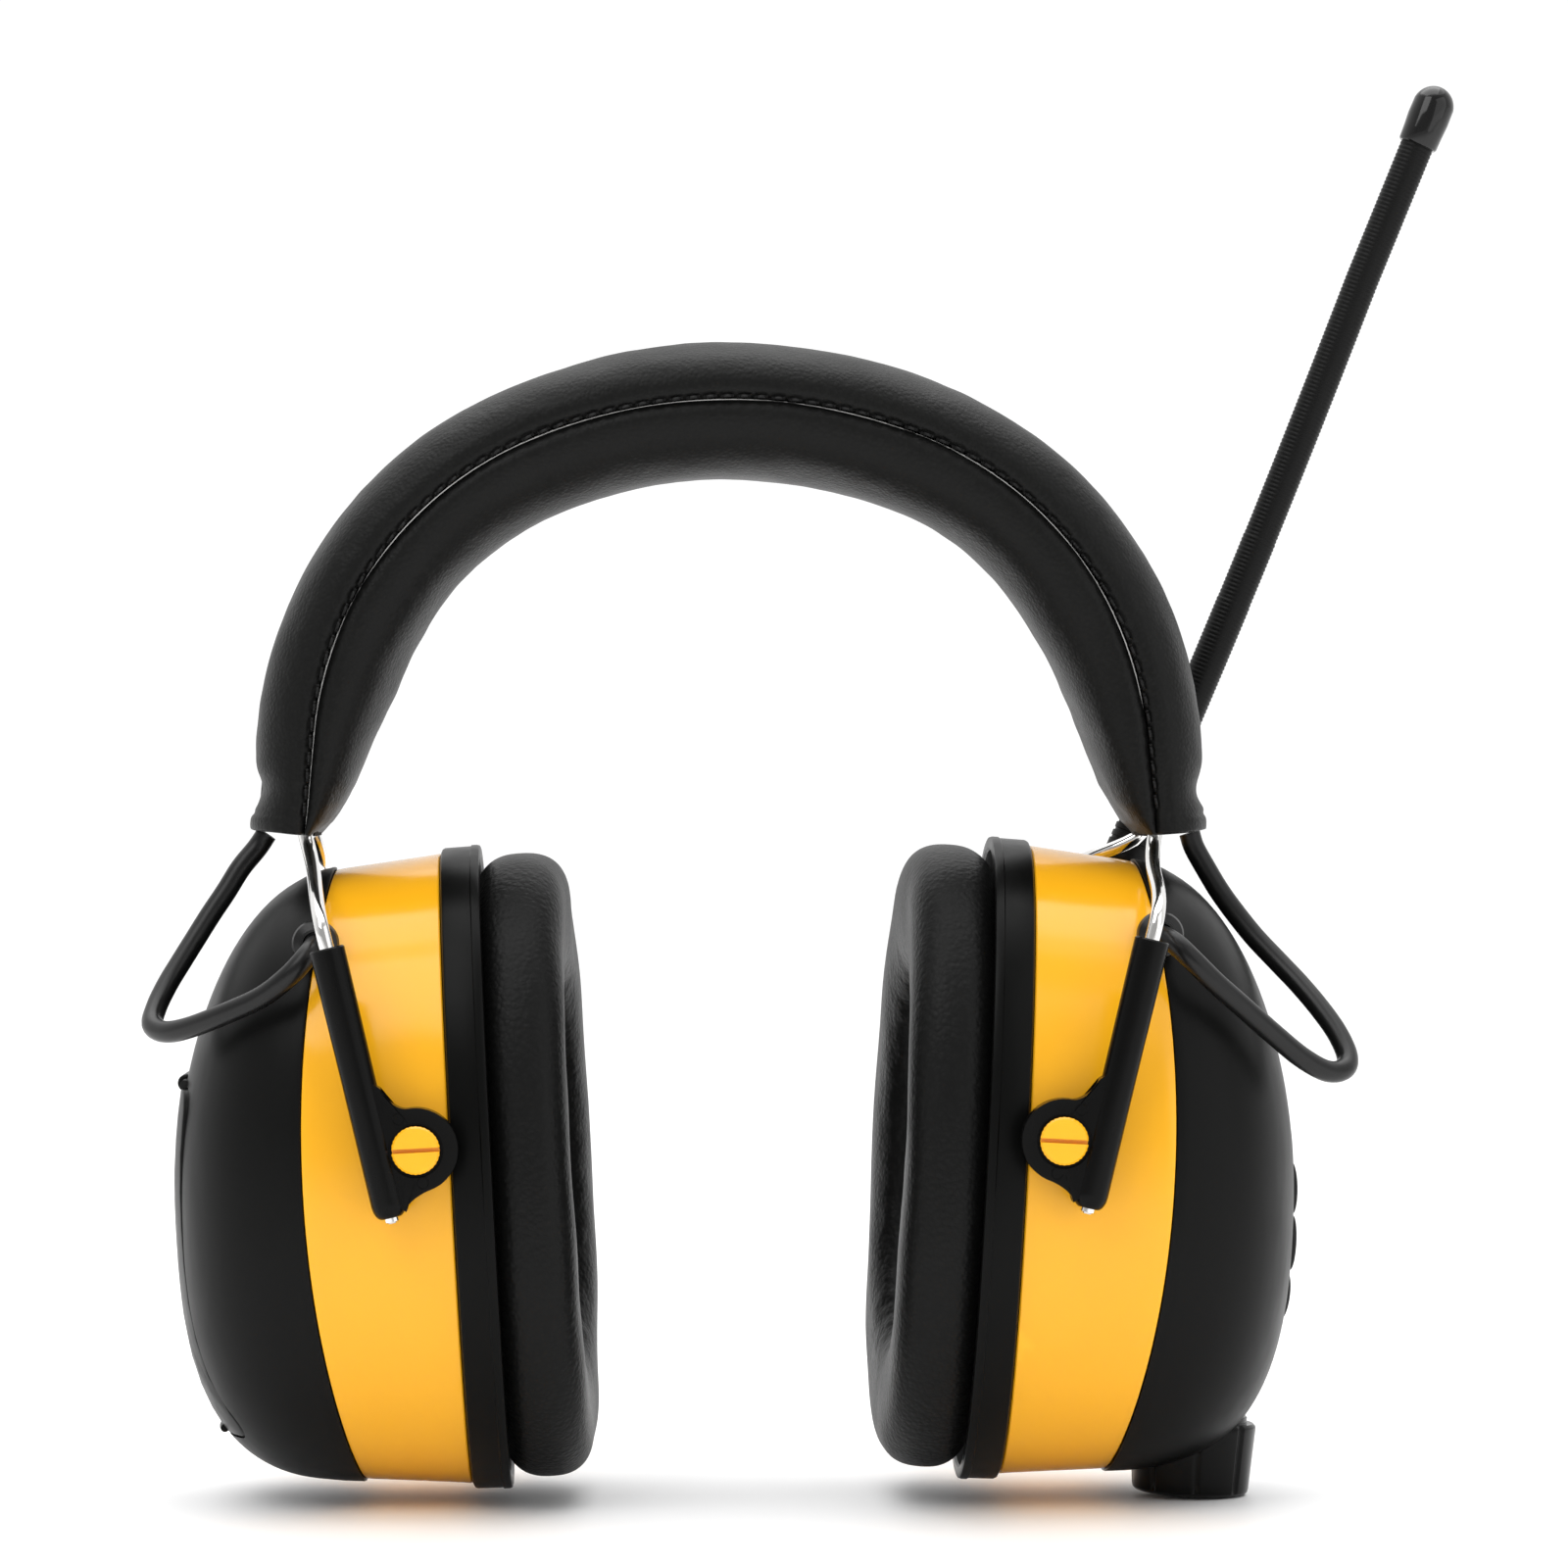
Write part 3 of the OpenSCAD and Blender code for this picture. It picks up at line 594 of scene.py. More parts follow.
def arch(s):
    """Place of the seam line at s mm from the crown, and its outward direction, in x and z."""
    side = -1 if s < 0 else 1
    far = abs(s)
    crown_z = ARCH_TOP - CROWN_R
    reach = CROWN_R - SHOULDER_R
    if far < CROWN_LEN:
        turn = far / CROWN_R
        x, z = CROWN_R * sin(turn), crown_z + CROWN_R * cos(turn)
    else:
        turn = min(CROWN_TURN + (far - CROWN_LEN) / SHOULDER_R, SHOULDER_TURN)
        past = max(far - CROWN_LEN - SHOULDER_LEN, 0)
        x = reach * sin(CROWN_TURN) + SHOULDER_R * sin(turn) + past * cos(turn)
        z = crown_z + reach * cos(CROWN_TURN) + SHOULDER_R * cos(turn) - past * sin(turn)
    return Vector((side * x + BAND_SHIFT, 0, z)), Vector((side * sin(turn), 0, cos(turn)))


def on_arch(s, offset, y):
    place, out = arch(s)
    return place + out * offset + Vector((0, y, 0))


# How thick the pad is at distances from the headband's end
PAD_END = ((0, 1.0), (0.7, 1.7), (2.4, 3.5), (5.8, 5.6), (9.2, 7.1), (15, 8.9), (21, 10.6), (28, 11.8),
           (42, 12.7))


def cover_thickness(s):
    """The cover pinches in above its ends and flares out again at the hem, above a folded edge."""
    from_end = HALF_LEN - abs(s)
    pinch = 1.7 * exp(-((from_end - 7) / 3.4) ** 2) + 0.5 * exp(-from_end / 2)
    return COVER_T - pinch - 0.4 * exp(-((from_end - 3) / 0.45) ** 2)


def pad_thickness(s):
    """The pad fades out towards the ends."""
    from_end = HALF_LEN - abs(s)
    for (near, thin), (far, thick) in zip(PAD_END, PAD_END[1:]):
        if from_end < far:
            return thin + (thick - thin) * max(from_end - near, 0) / (far - near)
    return PAD_END[-1][1]


def half_section(thickness, flange, count=40):
    """Half of the headband's section from seam to seam, as (y, offset): a puffed skin above
    a flat sewn flange, which a crease parts from it."""
    profile = []
    for i in range(count + 1):
        turn = pi * i / count
        y = HALF_W * spow(cos(turn), 0.78)
        offset = thickness * abs(sin(turn)) ** 0.78
        tuck = 1.1 * exp(-(offset / 0.8) ** 2)
        crease = 0.75 * exp(-((offset - flange) / 0.4) ** 2) if flange else 0
        profile.append((y - copysign(tuck + crease, y), offset + 0.15))
    return profile


def headband_shape(thickness_at, direction, flange):
    """A closed sleeve along the arch, with a channel below for the core and the wires."""
    rings = []
    count = 150
    fine = [HALF_LEN - 0.42 * k for k in range(24)]
    reach = fine[-1] - 0.6
    stations = [-s for s in fine] + [reach * (2 * i / count - 1) for i in range(count + 1)] + fine[::-1]
    for s in stations:
        skin = half_section(thickness_at(s), flange)
        under = [(-16.8, 0.2), (-16.5, 1.5), (-8, 1.6), (0, 1.6), (8, 1.6), (16.5, 1.5), (16.8, 0.2)]
        low = min(1.0, thickness_at(s) / 3)
        section = skin + [(y, offset * low) for y, offset in under]
        rings.append([on_arch(s, direction * offset, y) for y, offset in section])
    return loft(rings)


def wrinkle_share(p):
    """Creases gather near the ends of the headband."""
    return 0.25 + 0.75 * clamp((84 - p.z) / 24)


def headband():
    cover = solid(headband_shape(cover_thickness, 1, 1.9), "headband_cover_skin")
    ripple(cover, (26, 9, 26), 0.35, seed=3.1)
    ripple(cover, (9, 26, 2.6), 0.42, wrinkle_share, seed=7.7)
    ripple(cover, (2.2, 3.4, 2.2), 0.10, seed=1.7)
    pad = solid(headband_shape(pad_thickness, -1, 0), "headband_pad_skin")
    ripple(pad, (20, 12, 20), 0.5, seed=11.3)
    ripple(pad, (5, 7, 5), 0.28, wrinkle_share, seed=5.9)
    ripple(pad, (2.2, 3.4, 2.2), 0.10, seed=2.7)
    for piece, node in ((cover, "headband_cover"), (pad, "headband_pad")):
        softened(piece)
        finished(piece, "leatherette", "headband", node, sharp=60)


def stitching():
    """A row of thread stitches along the front and back seams."""
    pitch, stitch, thread_r = 2.9, 2.1, 0.26
    shapes = []
    count = int(2 * (HALF_LEN - 3) / pitch)
    for y in (-SEAM_Y, SEAM_Y):
        for i in range(count):
            s = -HALF_LEN + 3 + pitch * (i + 0.5)
            route = []
            for k in range(7):
                t = k / 6
                rise = sin(pi * t)
                along = s + stitch * (t - 0.5)
                route.append(on_arch(along, 0.25 + 0.15 * t, y + copysign(0.6 * rise - 0.3, y)))
            shapes.append(tube(route, thread_r, 6))
    finished(solid(joined(*shapes), "headband_stitching"), "thread", "headband")


headband()
stitching()


# ---- Wires ----

def scaled(vector, by):
    return Vector((vector.x * by.x, vector.y * by.y, vector.z * by.z))


def wire_end(side, s):
    """From the headband's end, flaring to the arm's mouth, then straight down its sleeve.
    On the radio side the back wire also bows inwards, round the antenna's boot."""
    place, _ = arch(side * HALF_LEN)
    start = place + Vector((0, s * WIRE_IN_Y, 0))
    along = scaled(ARM_DIR, Vector((side, 1, 1)))
    mouth = scaled(MOUTH, Vector((side, s, 1))) + Vector((0, 0, LIFT[side]))
    end = mouth - along * 2
    down = Vector((end.x - start.x, 0, end.z - start.z)).normalized()
    steps = 28
    route = hermite(start, down * FLARE, end, along * FLARE, steps)
    if side > 0 and s > 0:
        for i, point in enumerate(route):
            point.x -= BOOT_BOW * sin(pi * (i / steps) ** 0.72) ** 2
    return route + [mouth + along * (ARM_LEN * k / 8) for k in range(9)] + [mouth + along * (ARM_LEN + 0.6)]


def wire(name, s):
    middle = [on_arch(HALF_LEN * (i / 60 - 1), 0, s * WIRE_IN_Y) for i in range(1, 120)]
    route = wire_end(-1, s)[::-1] + middle + wire_end(1, s)
    tip = 0.3
    ends = [route[0] + (route[0] - route[1]).normalized() * tip]
    ends += route
    ends += [route[-1] + (route[-1] - route[-2]).normalized() * tip]
    last = len(ends) - 1
    shape = tube(ends, lambda i: WIRE_R - tip if i in (0, last) else WIRE_R, 24)
    finished(solid(shape, f"{name}_drawn"), "spring_steel", "headband", name)


wire("wire_front", -1)
wire("wire_back", 1)


# ---- Sliding arms ----

PIVOT_X = CUP_X + PIVOT_A * cos(CUP_TILT) + PIVOT_H * sin(CUP_TILT)
PIVOT_Z = -PIVOT_A * sin(CUP_TILT) + PIVOT_H * cos(CUP_TILT)


def arc(centre, radius, start, end, count):
    turns = [radians(start + (end - start) * k / count) for k in range(count + 1)]
    return [centre + Vector((radius * cos(t), 0, radius * sin(t))) for t in turns]


def arm_plate():
    """Outline of the flat web and ring, in x and z, with fillets into the sleeve."""
    pivot = Vector((PIVOT_X, 0, PIVOT_Z))
    axis = Vector((MOUTH.x, 0, MOUTH.z))
    reach = (MOUTH.z - PIVOT_Z) / cos(ARM_TILT)
    high = pivot + Vector((6.0, 0, 10.3))
    low = pivot + Vector((1.5, 0, -10.2))
    ring = arc(pivot, RING_R, 79, 250, 40)
    outline = [axis + ARM_DIR * (reach - 13)]
    outline += hermite(high, ARM_DIR * 5, ring[0], Vector((-5, 0, 1)), 12)[:-1]
    outline += ring
    outline += hermite(ring[-1], Vector((4.4, 0, -1.6)), low, ARM_DIR * 4, 10)[1:]
    outline += [axis + ARM_DIR * (reach + 8.6)]
    return outline


def slab(outline, y0, y1):
    """An outline in x and z made solid between two depths. solid() merges the doubled end rings."""
    return loft([[p + Vector((0, y, 0)) for p in outline] for y in (y0, y0, y1, y1)])


def arm(name, side, s):
    """Sleeve on the wire, web, and ring round the pivot pin, moulded as one."""
    tip_r = 2.5
    start = MOUTH
    route = [start, start + ARM_DIR * 0.25, start + ARM_DIR * 1.2, start + ARM_DIR * (ARM_LEN * 0.5)]
    route += [start + ARM_DIR * (ARM_LEN - tip_r * (1 - sin(radians(13 * k)))) for k in range(7)]
    radii = [SLEEVE_R - 0.15, SLEEVE_R + 0.1, SLEEVE_R + 0.1, SLEEVE_R]
    radii += [SLEEVE_R - tip_r * 0.55 * (1 - cos(radians(13 * k))) for k in range(7)]
    obj = solid(tube(route, lambda i: radii[i], 40), f"{name}_moulded")
    carve(obj, slab(arm_plate(), ARM_Y, ARM_Y + PLATE_T), "UNION")
    bore = tube([start - ARM_DIR * 2, start + ARM_DIR * (ARM_LEN + 2)], WIRE_R + 0.06, 24)
    carve(obj, bore)
    pivot = Vector((PIVOT_X, 0, PIVOT_Z))

    def at_pivot(p):
        return pivot + Vector((p.x, p.z, p.y))

    hole = [(3.3, ARM_Y - 1), (3.3, ARM_Y + PLATE_T - 1), (4.6, ARM_Y + PLATE_T - 0.95), (4.6, ARM_Y + 9)]
    carve(obj, moved(revolved(hole, 64), at_pivot))
    rounded(obj, 0.22, 2)
    marks = []
    for dx, dz in ((2.9, 5.2), (-1.2, -5.4)):
        place = pivot + Vector((dx, ARM_Y + PLATE_T, dz))
        circle = [place + p for p in arc(Vector(), 0.95, 0, 360, 24)]
        marks.append(tube(circle, 0.09, 6))
    by = Vector((side, s, 1))
    shape = moved(joined(taken(obj), *marks), lambda p: scaled(p, by) + Vector((0, 0, LIFT[side])))
    label = "left" if side < 0 else "right"
    finished(solid(shape, f"{name}_moulded"), "arm_plastic", f"yoke_{label}", name, sharp=30)


for label, side in SIDES.items():
    arm(f"arm_front_{label}", side, -1)
    arm(f"arm_back_{label}", side, 1)


# ---- Cups ----

def parting(h):
    """How far out the split between the yellow housing and the black shell lies."""
    return BAND_W - SPLIT_R + sqrt(SPLIT_R ** 2 - h ** 2)


def outline(angle, a, inset=0.0):
    """Cup outline at a turn angle and a distance out, in y and h."""
    less = DRAFT * min(max(a, 0), BAND_W) + inset
    return oval(angle, CUP_HD - less, CUP_HH - less)


def band(name, side):
    """Yellow middle housing, with rounded lips."""
    def ring(share, offset, inset):
        points = []
        for angle in ANGLES:
            y, h = outline(angle, BAND_W * share, inset)
            points.append(cup(side, share * parting(h) + offset, y, h))
        return points

    profile = [(0, 0.05, 0.5), (0, 0.12, 0.15), (0, 0.35, 0)]
    profile += [(k / 12, 0, 0) for k in range(1, 12)]
    profile += [(1, -0.45, 0), (1, -0.16, 0.1), (1, -PART_GAP, 0.35), (1, -PART_GAP, WALL), (0, 0.05, WALL)]
    shape = loft([ring(*row) for row in profile], loop=True)
    finished(solid(shape, f"band_{name}_moulded"), "yellow_plastic", f"cup_{name}", f"band_{name}")


def dome_point(angle, lean, inset=0.0):
    """A point of the outer shell's form: lean is 0 at its foot and 1 at its apex."""
    up = (1 + sin(angle)) / 2
    power = 2 / (2.7 - 0.7 * up * up)
    reach = max(cos(lean * pi / 2), 0) ** power
    a = DOME_BASE + (DOME_H - inset) * sin(lean * pi / 2) ** power
    y, h = outline(angle, a, inset)
    return a, y * reach, APEX_H + (h - APEX_H) * reach


def dome_foot(angle, gap, inset=0.0):
    """The lean at which the shell meets the split."""
    low, high = 0.0, 0.9
    for _ in range(30):
        middle = (low + high) / 2
        a, _, h = dome_point(angle, middle, inset)
        if a < parting(h) + gap:
            low = middle
        else:
            high = middle
    return high


def dome_ring(share, gap, inset):
    """Ring of the shell: share runs from the split to the apex."""
    ring = []
    for angle in ANGLES:
        foot = dome_foot(angle, gap, inset)
        lean = foot + (1 - foot) * (1 - (1 - share) ** 1.6)
        ring.append(dome_point(angle, lean, inset))
    return ring


def dome_shape(hollow=True):
    """The shell in the cup's own frame."""
    rows = 44
    outside = [dome_ring(0, 0.08, 0.4), dome_ring(0, 0.17, 0.1)]
    outside += [dome_ring(k / rows, 0.45, 0) for k in range(rows)]
    outside += [dome_ring(0.994, 0.45, 0)]
    if not hollow:
        return loft(outside)
    inside = [dome_ring(0.99, 0.08, WALL)]
    inside += [dome_ring(k / 16, 0.08, WALL) for k in range(15, -1, -1)]
    return loft(inside + outside)


SKIN_POINTS, SKIN_FACES = dome_shape(hollow=False)
SKIN = BVHTree.FromPolygons(SKIN_POINTS, SKIN_FACES)


def skin_at(y, h):
    """How far out the shell's face is at a depth and height."""
    hit = SKIN.ray_cast(Vector((90, y, h)), Vector((-1, 0, 0)))[0]
    return hit.x if hit else DOME_BASE


def round_box(middle_y, middle_h, half_y, half_h, radius, inset=0.0):
    """Rounded rectangle in y and h, with points along its edges too."""
    corner, edge = 10, 8
    half_y, half_h = half_y - inset, half_h - inset
    radius = max(radius - inset, 0.1)
    points = []
    for turn, (sy, sh) in enumerate(((1, 1), (-1, 1), (-1, -1), (1, -1))):
        centre = (middle_y + sy * (half_y - radius), middle_h + sh * (half_h - radius))
        arc_points = []
        for k in range(corner + 1):
            t = pi / 2 * (turn + k / corner)
            arc_points.append((centre[0] + radius * cos(t), centre[1] + radius * sin(t)))
        points += arc_points
    full = []
    for (y0, h0), (y1, h1) in zip(points, points[1:] + points[:1]):
        steps = edge if hypot(y1 - y0, h1 - h0) > radius else 1
        full += [(y0 + (y1 - y0) * k / steps, h0 + (h1 - h0) * k / steps) for k in range(steps)]
    return full


def prism(side, outline_points, a0, a1):
    """An outline in y and h made solid along the cup's axis."""
    return loft([[cup(side, a, y, h) for y, h in outline_points] for a in (a0, a1)])


def shell_cap(side, box, proud, depth, roll=0.5):
    """A panel that follows the shell's face: box is its middle, half sizes and corner radius."""
    middle_y, middle_h = box[:2]
    inner = round_box(*box, inset=roll)

    def shrunk(scale):
        return [(middle_y + (y - middle_y) * scale, middle_h + (h - middle_h) * scale) for y, h in inner]

    def outside(ring, less=0.0):
        return [cup(side, skin_at(y, h) + proud(y, h) - less, y, h) for y, h in ring]

    def underside(ring):
        return [cup(side, skin_at(y, h) - depth, y, h) for y, h in ring]

    rings = [outside(shrunk(scale)) for scale in (0.12, 0.35, 0.55, 0.72, 0.86, 0.95)]
    for k in range(5):
        turn = pi / 2 * k / 4
        ring = round_box(*box, inset=roll * (1 - sin(turn)))
        rings.append(outside(ring, roll * (1 - cos(turn))))
    rings.append(underside(round_box(*box)))
    rings += [underside(shrunk(scale)) for scale in (0.9, 0.6, 0.3)]
    return loft(rings)


def upright(side, a, y):
    """Puts a turned shape about the cup's own upright axis through a and y."""
    return lambda p: cup(side, a + p.x, y + p.y, p.z)


def lying(side, a, h):
    """Puts a turned shape about an axis that runs front to back through a and h."""
    return lambda p: cup(side, a + p.x, p.z, h + p.y)


DOOR_BOX = (0, (DOOR_TOP + DOOR_BOTTOM) / 2, DOOR_HW, (DOOR_TOP - DOOR_BOTTOM) / 2, 4.5)
LCD_BOX = (0, 14.5, 14, 7.5, 2.2)


def outer_shell_left():
    side = -1
    obj = solid(moved(dome_shape(), lambda p: cup(side, *p)), "outer_shell_left_moulded")
    opening = round_box(*DOOR_BOX, inset=-0.3)
    carve(obj, prism(side, opening, 30, 60))
    carve(obj, prism(side, round_box(0, HINGE_H, 8, 2.1, 0.6), 43, 60))
    finished(obj, "shell_plastic", "cup_left", "outer_shell_left", sharp=28)


def outer_shell_right():
    side = 1
    obj = solid(moved(dome_shape(), lambda p: cup(side, *p)), "outer_shell_right_moulded")
    post = solid(moved((SKIN_POINTS, SKIN_FACES), lambda p: cup(side, *p)), "post")
    place = upright(side, KNOB_A, 0)
    round_wall = revolved([(POCKET_R + 1.8, -64), (POCKET_R + 1.8, POCKET_TOP + 2)], 72)
    carve(post, moved(round_wall, place), "INTERSECT")
    carve(obj, taken(post), "UNION")
    carve(obj, moved(revolved([(POCKET_R, -70), (POCKET_R, POCKET_TOP)], 72), place))
    for middle, height, width in KEY_ROWS.values():
        hole = round_box(0, middle, width / 2 + 0.25, height / 2 + 0.25, 2.6)
        carve(obj, prism(side, hole, 40, 60))
    carve(obj, prism(side, round_box(*LCD_BOX, inset=-0.15), 40, 60))
    finished(obj, "shell_plastic", "cup_right", "outer_shell_right", sharp=28)


def battery_door():
    side = -1

    def proud(y, h):
        share = clamp((h + 25) / (DOOR_TOP + 25))
        return 0.8 * share * share

    panel = shell_cap(side, DOOR_BOX, proud, WALL, 0.45)
    barrel = revolved([(1.2, -7.6), (1.5, -7.3), (1.5, 7.3), (1.2, 7.6)], 32)
    barrel = moved(barrel, lying(side, HINGE_A, HINGE_H))
    web = prism(side, round_box(0, HINGE_H - 1.5, 7.4, 1.4, 0.3), HINGE_A - 1.2, HINGE_A + 0.9)
    lip = []
    for k in range(17):
        y = -8 + k
        lip.append(cup(side, skin_at(y, DOOR_BOTTOM + 0.9) + 0.15, y, DOOR_BOTTOM + 0.9))
    shape = joined(panel, barrel, web, tube(lip, 0.75, 12))
    finished(solid(shape, "battery_door_panel"), "shell_plastic", "battery_door", "battery_door", sharp=30)


def rim(name, side):
    """Rim ring with a thin lip on the cushion side."""
    profile = [(-0.05, 0.25), (-0.3, 0.75), (-0.7, 0.95), (-5.1, 1.05), (-5.3, 1.25), (-6.2, 1.25),
               (-6.65, 1.1), (-6.8, 0.7), (-6.8, -0.7), (-6.4, -1.1), (-3.4, -1.4), (-3.2, -11),
               (-0.05, -11)]
    rings = []
    for a, grow in profile:
        ring = []
        for angle in ANGLES:
            y, h = outline(angle, 0, -grow)
            if side > 0 and grow > 0.9:
                near = exp(-((h + 0.5) / 1.1) ** 2 - ((a + 3.2) / 1.2) ** 2)
                y += 0.5 * near * (y < 0)
            ring.append(cup(side, a, y, h))
        rings.append(ring)
    shape = loft(rings, loop=True)
    finished(solid(shape, f"rim_ring_{name}_moulded"), "rim_plastic", f"cup_{name}", f"rim_ring_{name}")


def cushion_face(y):
    """The cushion is thicker towards the back of the head."""
    return CUSHION_T - 3.0 * (1 - (y + CUP_HD) / (2 * CUP_HD))


def cushion_shape(side):
    """Section from the clip groove, out round the side, over the face and in to the ear."""
    rings = []
    count = 56
    for angle in ANGLES:
        y_out, h_out = outline(angle, 0, 0.9)
        y_in, h_in = oval(angle, EAR_HD, EAR_HH)
        thick = cushion_face(y_out)
        wide = hypot(y_out - y_in, h_out - h_in)
        ring = []
        for k in range(count):
            turn = 2 * pi * k / count
            across = 0.5 + 0.5 * spow(cos(turn), 0.62)
            high = spow(sin(turn), 0.72)
            up = 0.5 + 0.5 * high
            if high > 0:
                up -= 0.035 * (1 - across) * high
            else:
                across = 0.5 + (across - 0.5) * (1 - 0.06 * high * high)
            y = y_in + (y_out - y_in) * across
            h = h_in + (h_out - h_in) * across
            bulge = 0.35 * sin(pi * min(1, up)) * (across > 0.5)
            scale = bulge / max(wide, 1)
            y += (y_out - y_in) * scale
            h += (h_out - h_in) * scale
            ring.append(cup(side, -RIM_T + 1.6 - (thick + 1.6) * up, y, h))
        rings.append(ring)
    return loft(rings, loop=True)


def pucker_share(side):
    """Fine puckers gather where the skin turns in to the ear."""
    def share(p):
        h = p.z - LIFT[side]
        inner = (p.y / (EAR_HD + 3)) ** 2 + (h / (EAR_HH + 3)) ** 2
        return clamp(1.9 - inner)
    return share


def ear_cushion(name, side):
    obj = solid(cushion_shape(side), f"ear_cushion_{name}_skin")
    ripple(obj, (16, 14, 16), 0.45, seed=2.0 * side)
    ripple(obj, (2.6, 2.2, 2.2), 0.30, pucker_share(side), seed=4.0 + side)
    softened(obj)
    finished(obj, "cushion_skin", f"cup_{name}", f"ear_cushion_{name}", sharp=70)


def foam(name, side):
    """Foam liner that crowns in the ear opening."""
    rings = []
    for a, grow, crown in ((-1, 6.6, 0), (-2.5, 6.9, 0), (-4.0, 6.8, 0), (-4.8, 6.2, 0.1),
                           (-5, 4, 0.3), (-5, -2, 0.7), (-5, -9, 1.0), (-5, -15, 1.1)):
        ring = []
        for angle in ANGLES:
            y, h = oval(angle, EAR_HD + grow, EAR_HH + grow)
            ring.append(cup(side, a - 1.6 * crown, y, h))
        rings.append(ring)
    obj = solid(loft(rings), f"foam_{name}_liner")
    ripple(obj, (12, 12, 12), 0.5, seed=9.0 + side)
    finished(obj, "foam", f"cup_{name}", f"foam_{name}", sharp=60)


def pins(name, side):
    """Snap-in pins: slotted heads with a fine knurl, front and back."""
    head_y = ARM_Y + 3.8 + 0.3
    shapes = []
    for s in (-1, 1):
        head = [(3.0, head_y - 0.1), (PIN_HEAD_R - 0.1, head_y), (PIN_HEAD_R, head_y + 0.25),
                (PIN_HEAD_R, head_y + 1.15), (PIN_HEAD_R - 0.3, head_y + 1.5)]
        shaft = [(2.6, CUP_HD - WALL - 2), (2.6, CUP_HD + 0.1), (3.2, CUP_HD + 0.15), (3.2, head_y + 0.3)]
        knurl = solid(revolved(head, 96, lambda t, z: 1 + 0.012 * sin(32 * t)), "pin")
        carve(knurl, revolved(shaft, 64), "UNION")
        slot = [Vector((x, y, z)) for z in (head_y + 0.15, head_y + 4)
                for x, y in ((-6, -0.35), (6, -0.35), (6, 0.35), (-6, 0.35))]
        carve(knurl, (slot, [(0, 1, 2, 3), (4, 5, 6, 7), (0, 1, 5, 4), (1, 2, 6, 5), (2, 3, 7, 6),
                             (3, 0, 4, 7)]))
        shapes.append(moved(taken(knurl), lambda p, s=s: cup(side, PIVOT_A + p.x, s * p.z, PIVOT_H + p.y)))
    finished(solid(joined(*shapes), f"pivot_pins_{name}_slotted"), "yellow_plastic", f"cup_{name}",
             f"pivot_pins_{name}", sharp=30)


def gland(name, side):
    """Round grommet on the split, with a short strain relief neck."""
    profile = [(2.3, -26), (2.35, -31.6), (3.7, -31.7), (4.0, -32.0), (4.0, -33.2), (3.7, -33.9),
               (3.0, -34.3), (2.5, -34.6), (2.4, -35.2), (2.05, -35.3), (CABLE_R, -34.2)]
    shape = moved(revolved(profile, 48), lying(side, GLAND_A, GLAND_H))
    finished(solid(shape, f"cable_gland_{name}_moulded"), "cable_rubber", f"cup_{name}",
             f"cable_gland_{name}")


for label, side in SIDES.items():
    band(label, side)
    rim(label, side)
    ear_cushion(label, side)
    foam(label, side)
    pins(label, side)
    gland(label, side)
outer_shell_left()
outer_shell_right()
battery_door()


# ---- Battery side ----

CELL_A = 35.8
CELL_Y = 7.7
CELL_H = -11.5
CELL_R = 7.1
CELL_HALF = 24.6
CONTACT_ENDS = (-37.65, 14.65)


def cells():
    """Two AA cells: crimped jackets, steel cans and nubs."""
    r, half = CELL_R, CELL_HALF
    shapes = []
    for s in (-1, 1):
        can = [(r - 1.2, -half), (r - 0.35, -half + 0.1), (r - 0.1, -half + 0.5), (r - 0.1, -half + 1.0),
               (r, -half + 1.3), (r, half - 1.6), (r - 0.12, half - 1.2), (r - 0.35, half - 0.6),
               (r - 0.9, half - 0.25), (r - 1.1, half - 0.5), (3.3, half - 0.5), (2.75, half),
               (2.75, half + 0.9), (2.3, half + 1.3)]
        shapes.append(moved(revolved(can, 64),
                            lambda p, s=s: cup(-1, CELL_A + p.x, s * CELL_Y + p.y, CELL_H + s * p.z)))
    finished(solid(joined(*shapes), "battery_cells_jacketed"), "cell_jacket", "cup_left", "battery_cells")


def contacts():
    """Plates at both ends of the tray, each with a coil spring or a nub."""
    low, high = CONTACT_ENDS
    per_turn, steps = 20, 60
    shapes = []
    for s in (-1, 1):
        plate = round_box(s * CELL_Y, 0, 6.2, 6, 1.0)
        for h in (low, high):
            rings = [[cup(-1, CELL_A + out, y, h + rise) for y, out in plate] for rise in (-0.25, 0.25)]
            shapes.append(loft(rings))
        end = low if s > 0 else high
        coil = []
        for k in range(steps + 1):
            t = k / per_turn * 2 * pi
            r = 4.4 - 1.7 * k / steps
            y = s * CELL_Y + r * sin(t)
            coil.append(cup(-1, CELL_A + r * cos(t), y, end + s * 1.6 * k / steps))
        shapes.append(tube(coil, 0.32, 8))
    finished(solid(joined(*shapes), "battery_contacts_sprung"), "contact_metal", "cup_left",
             "battery_contacts")


cells()
contacts()


# ---- Radio side ----

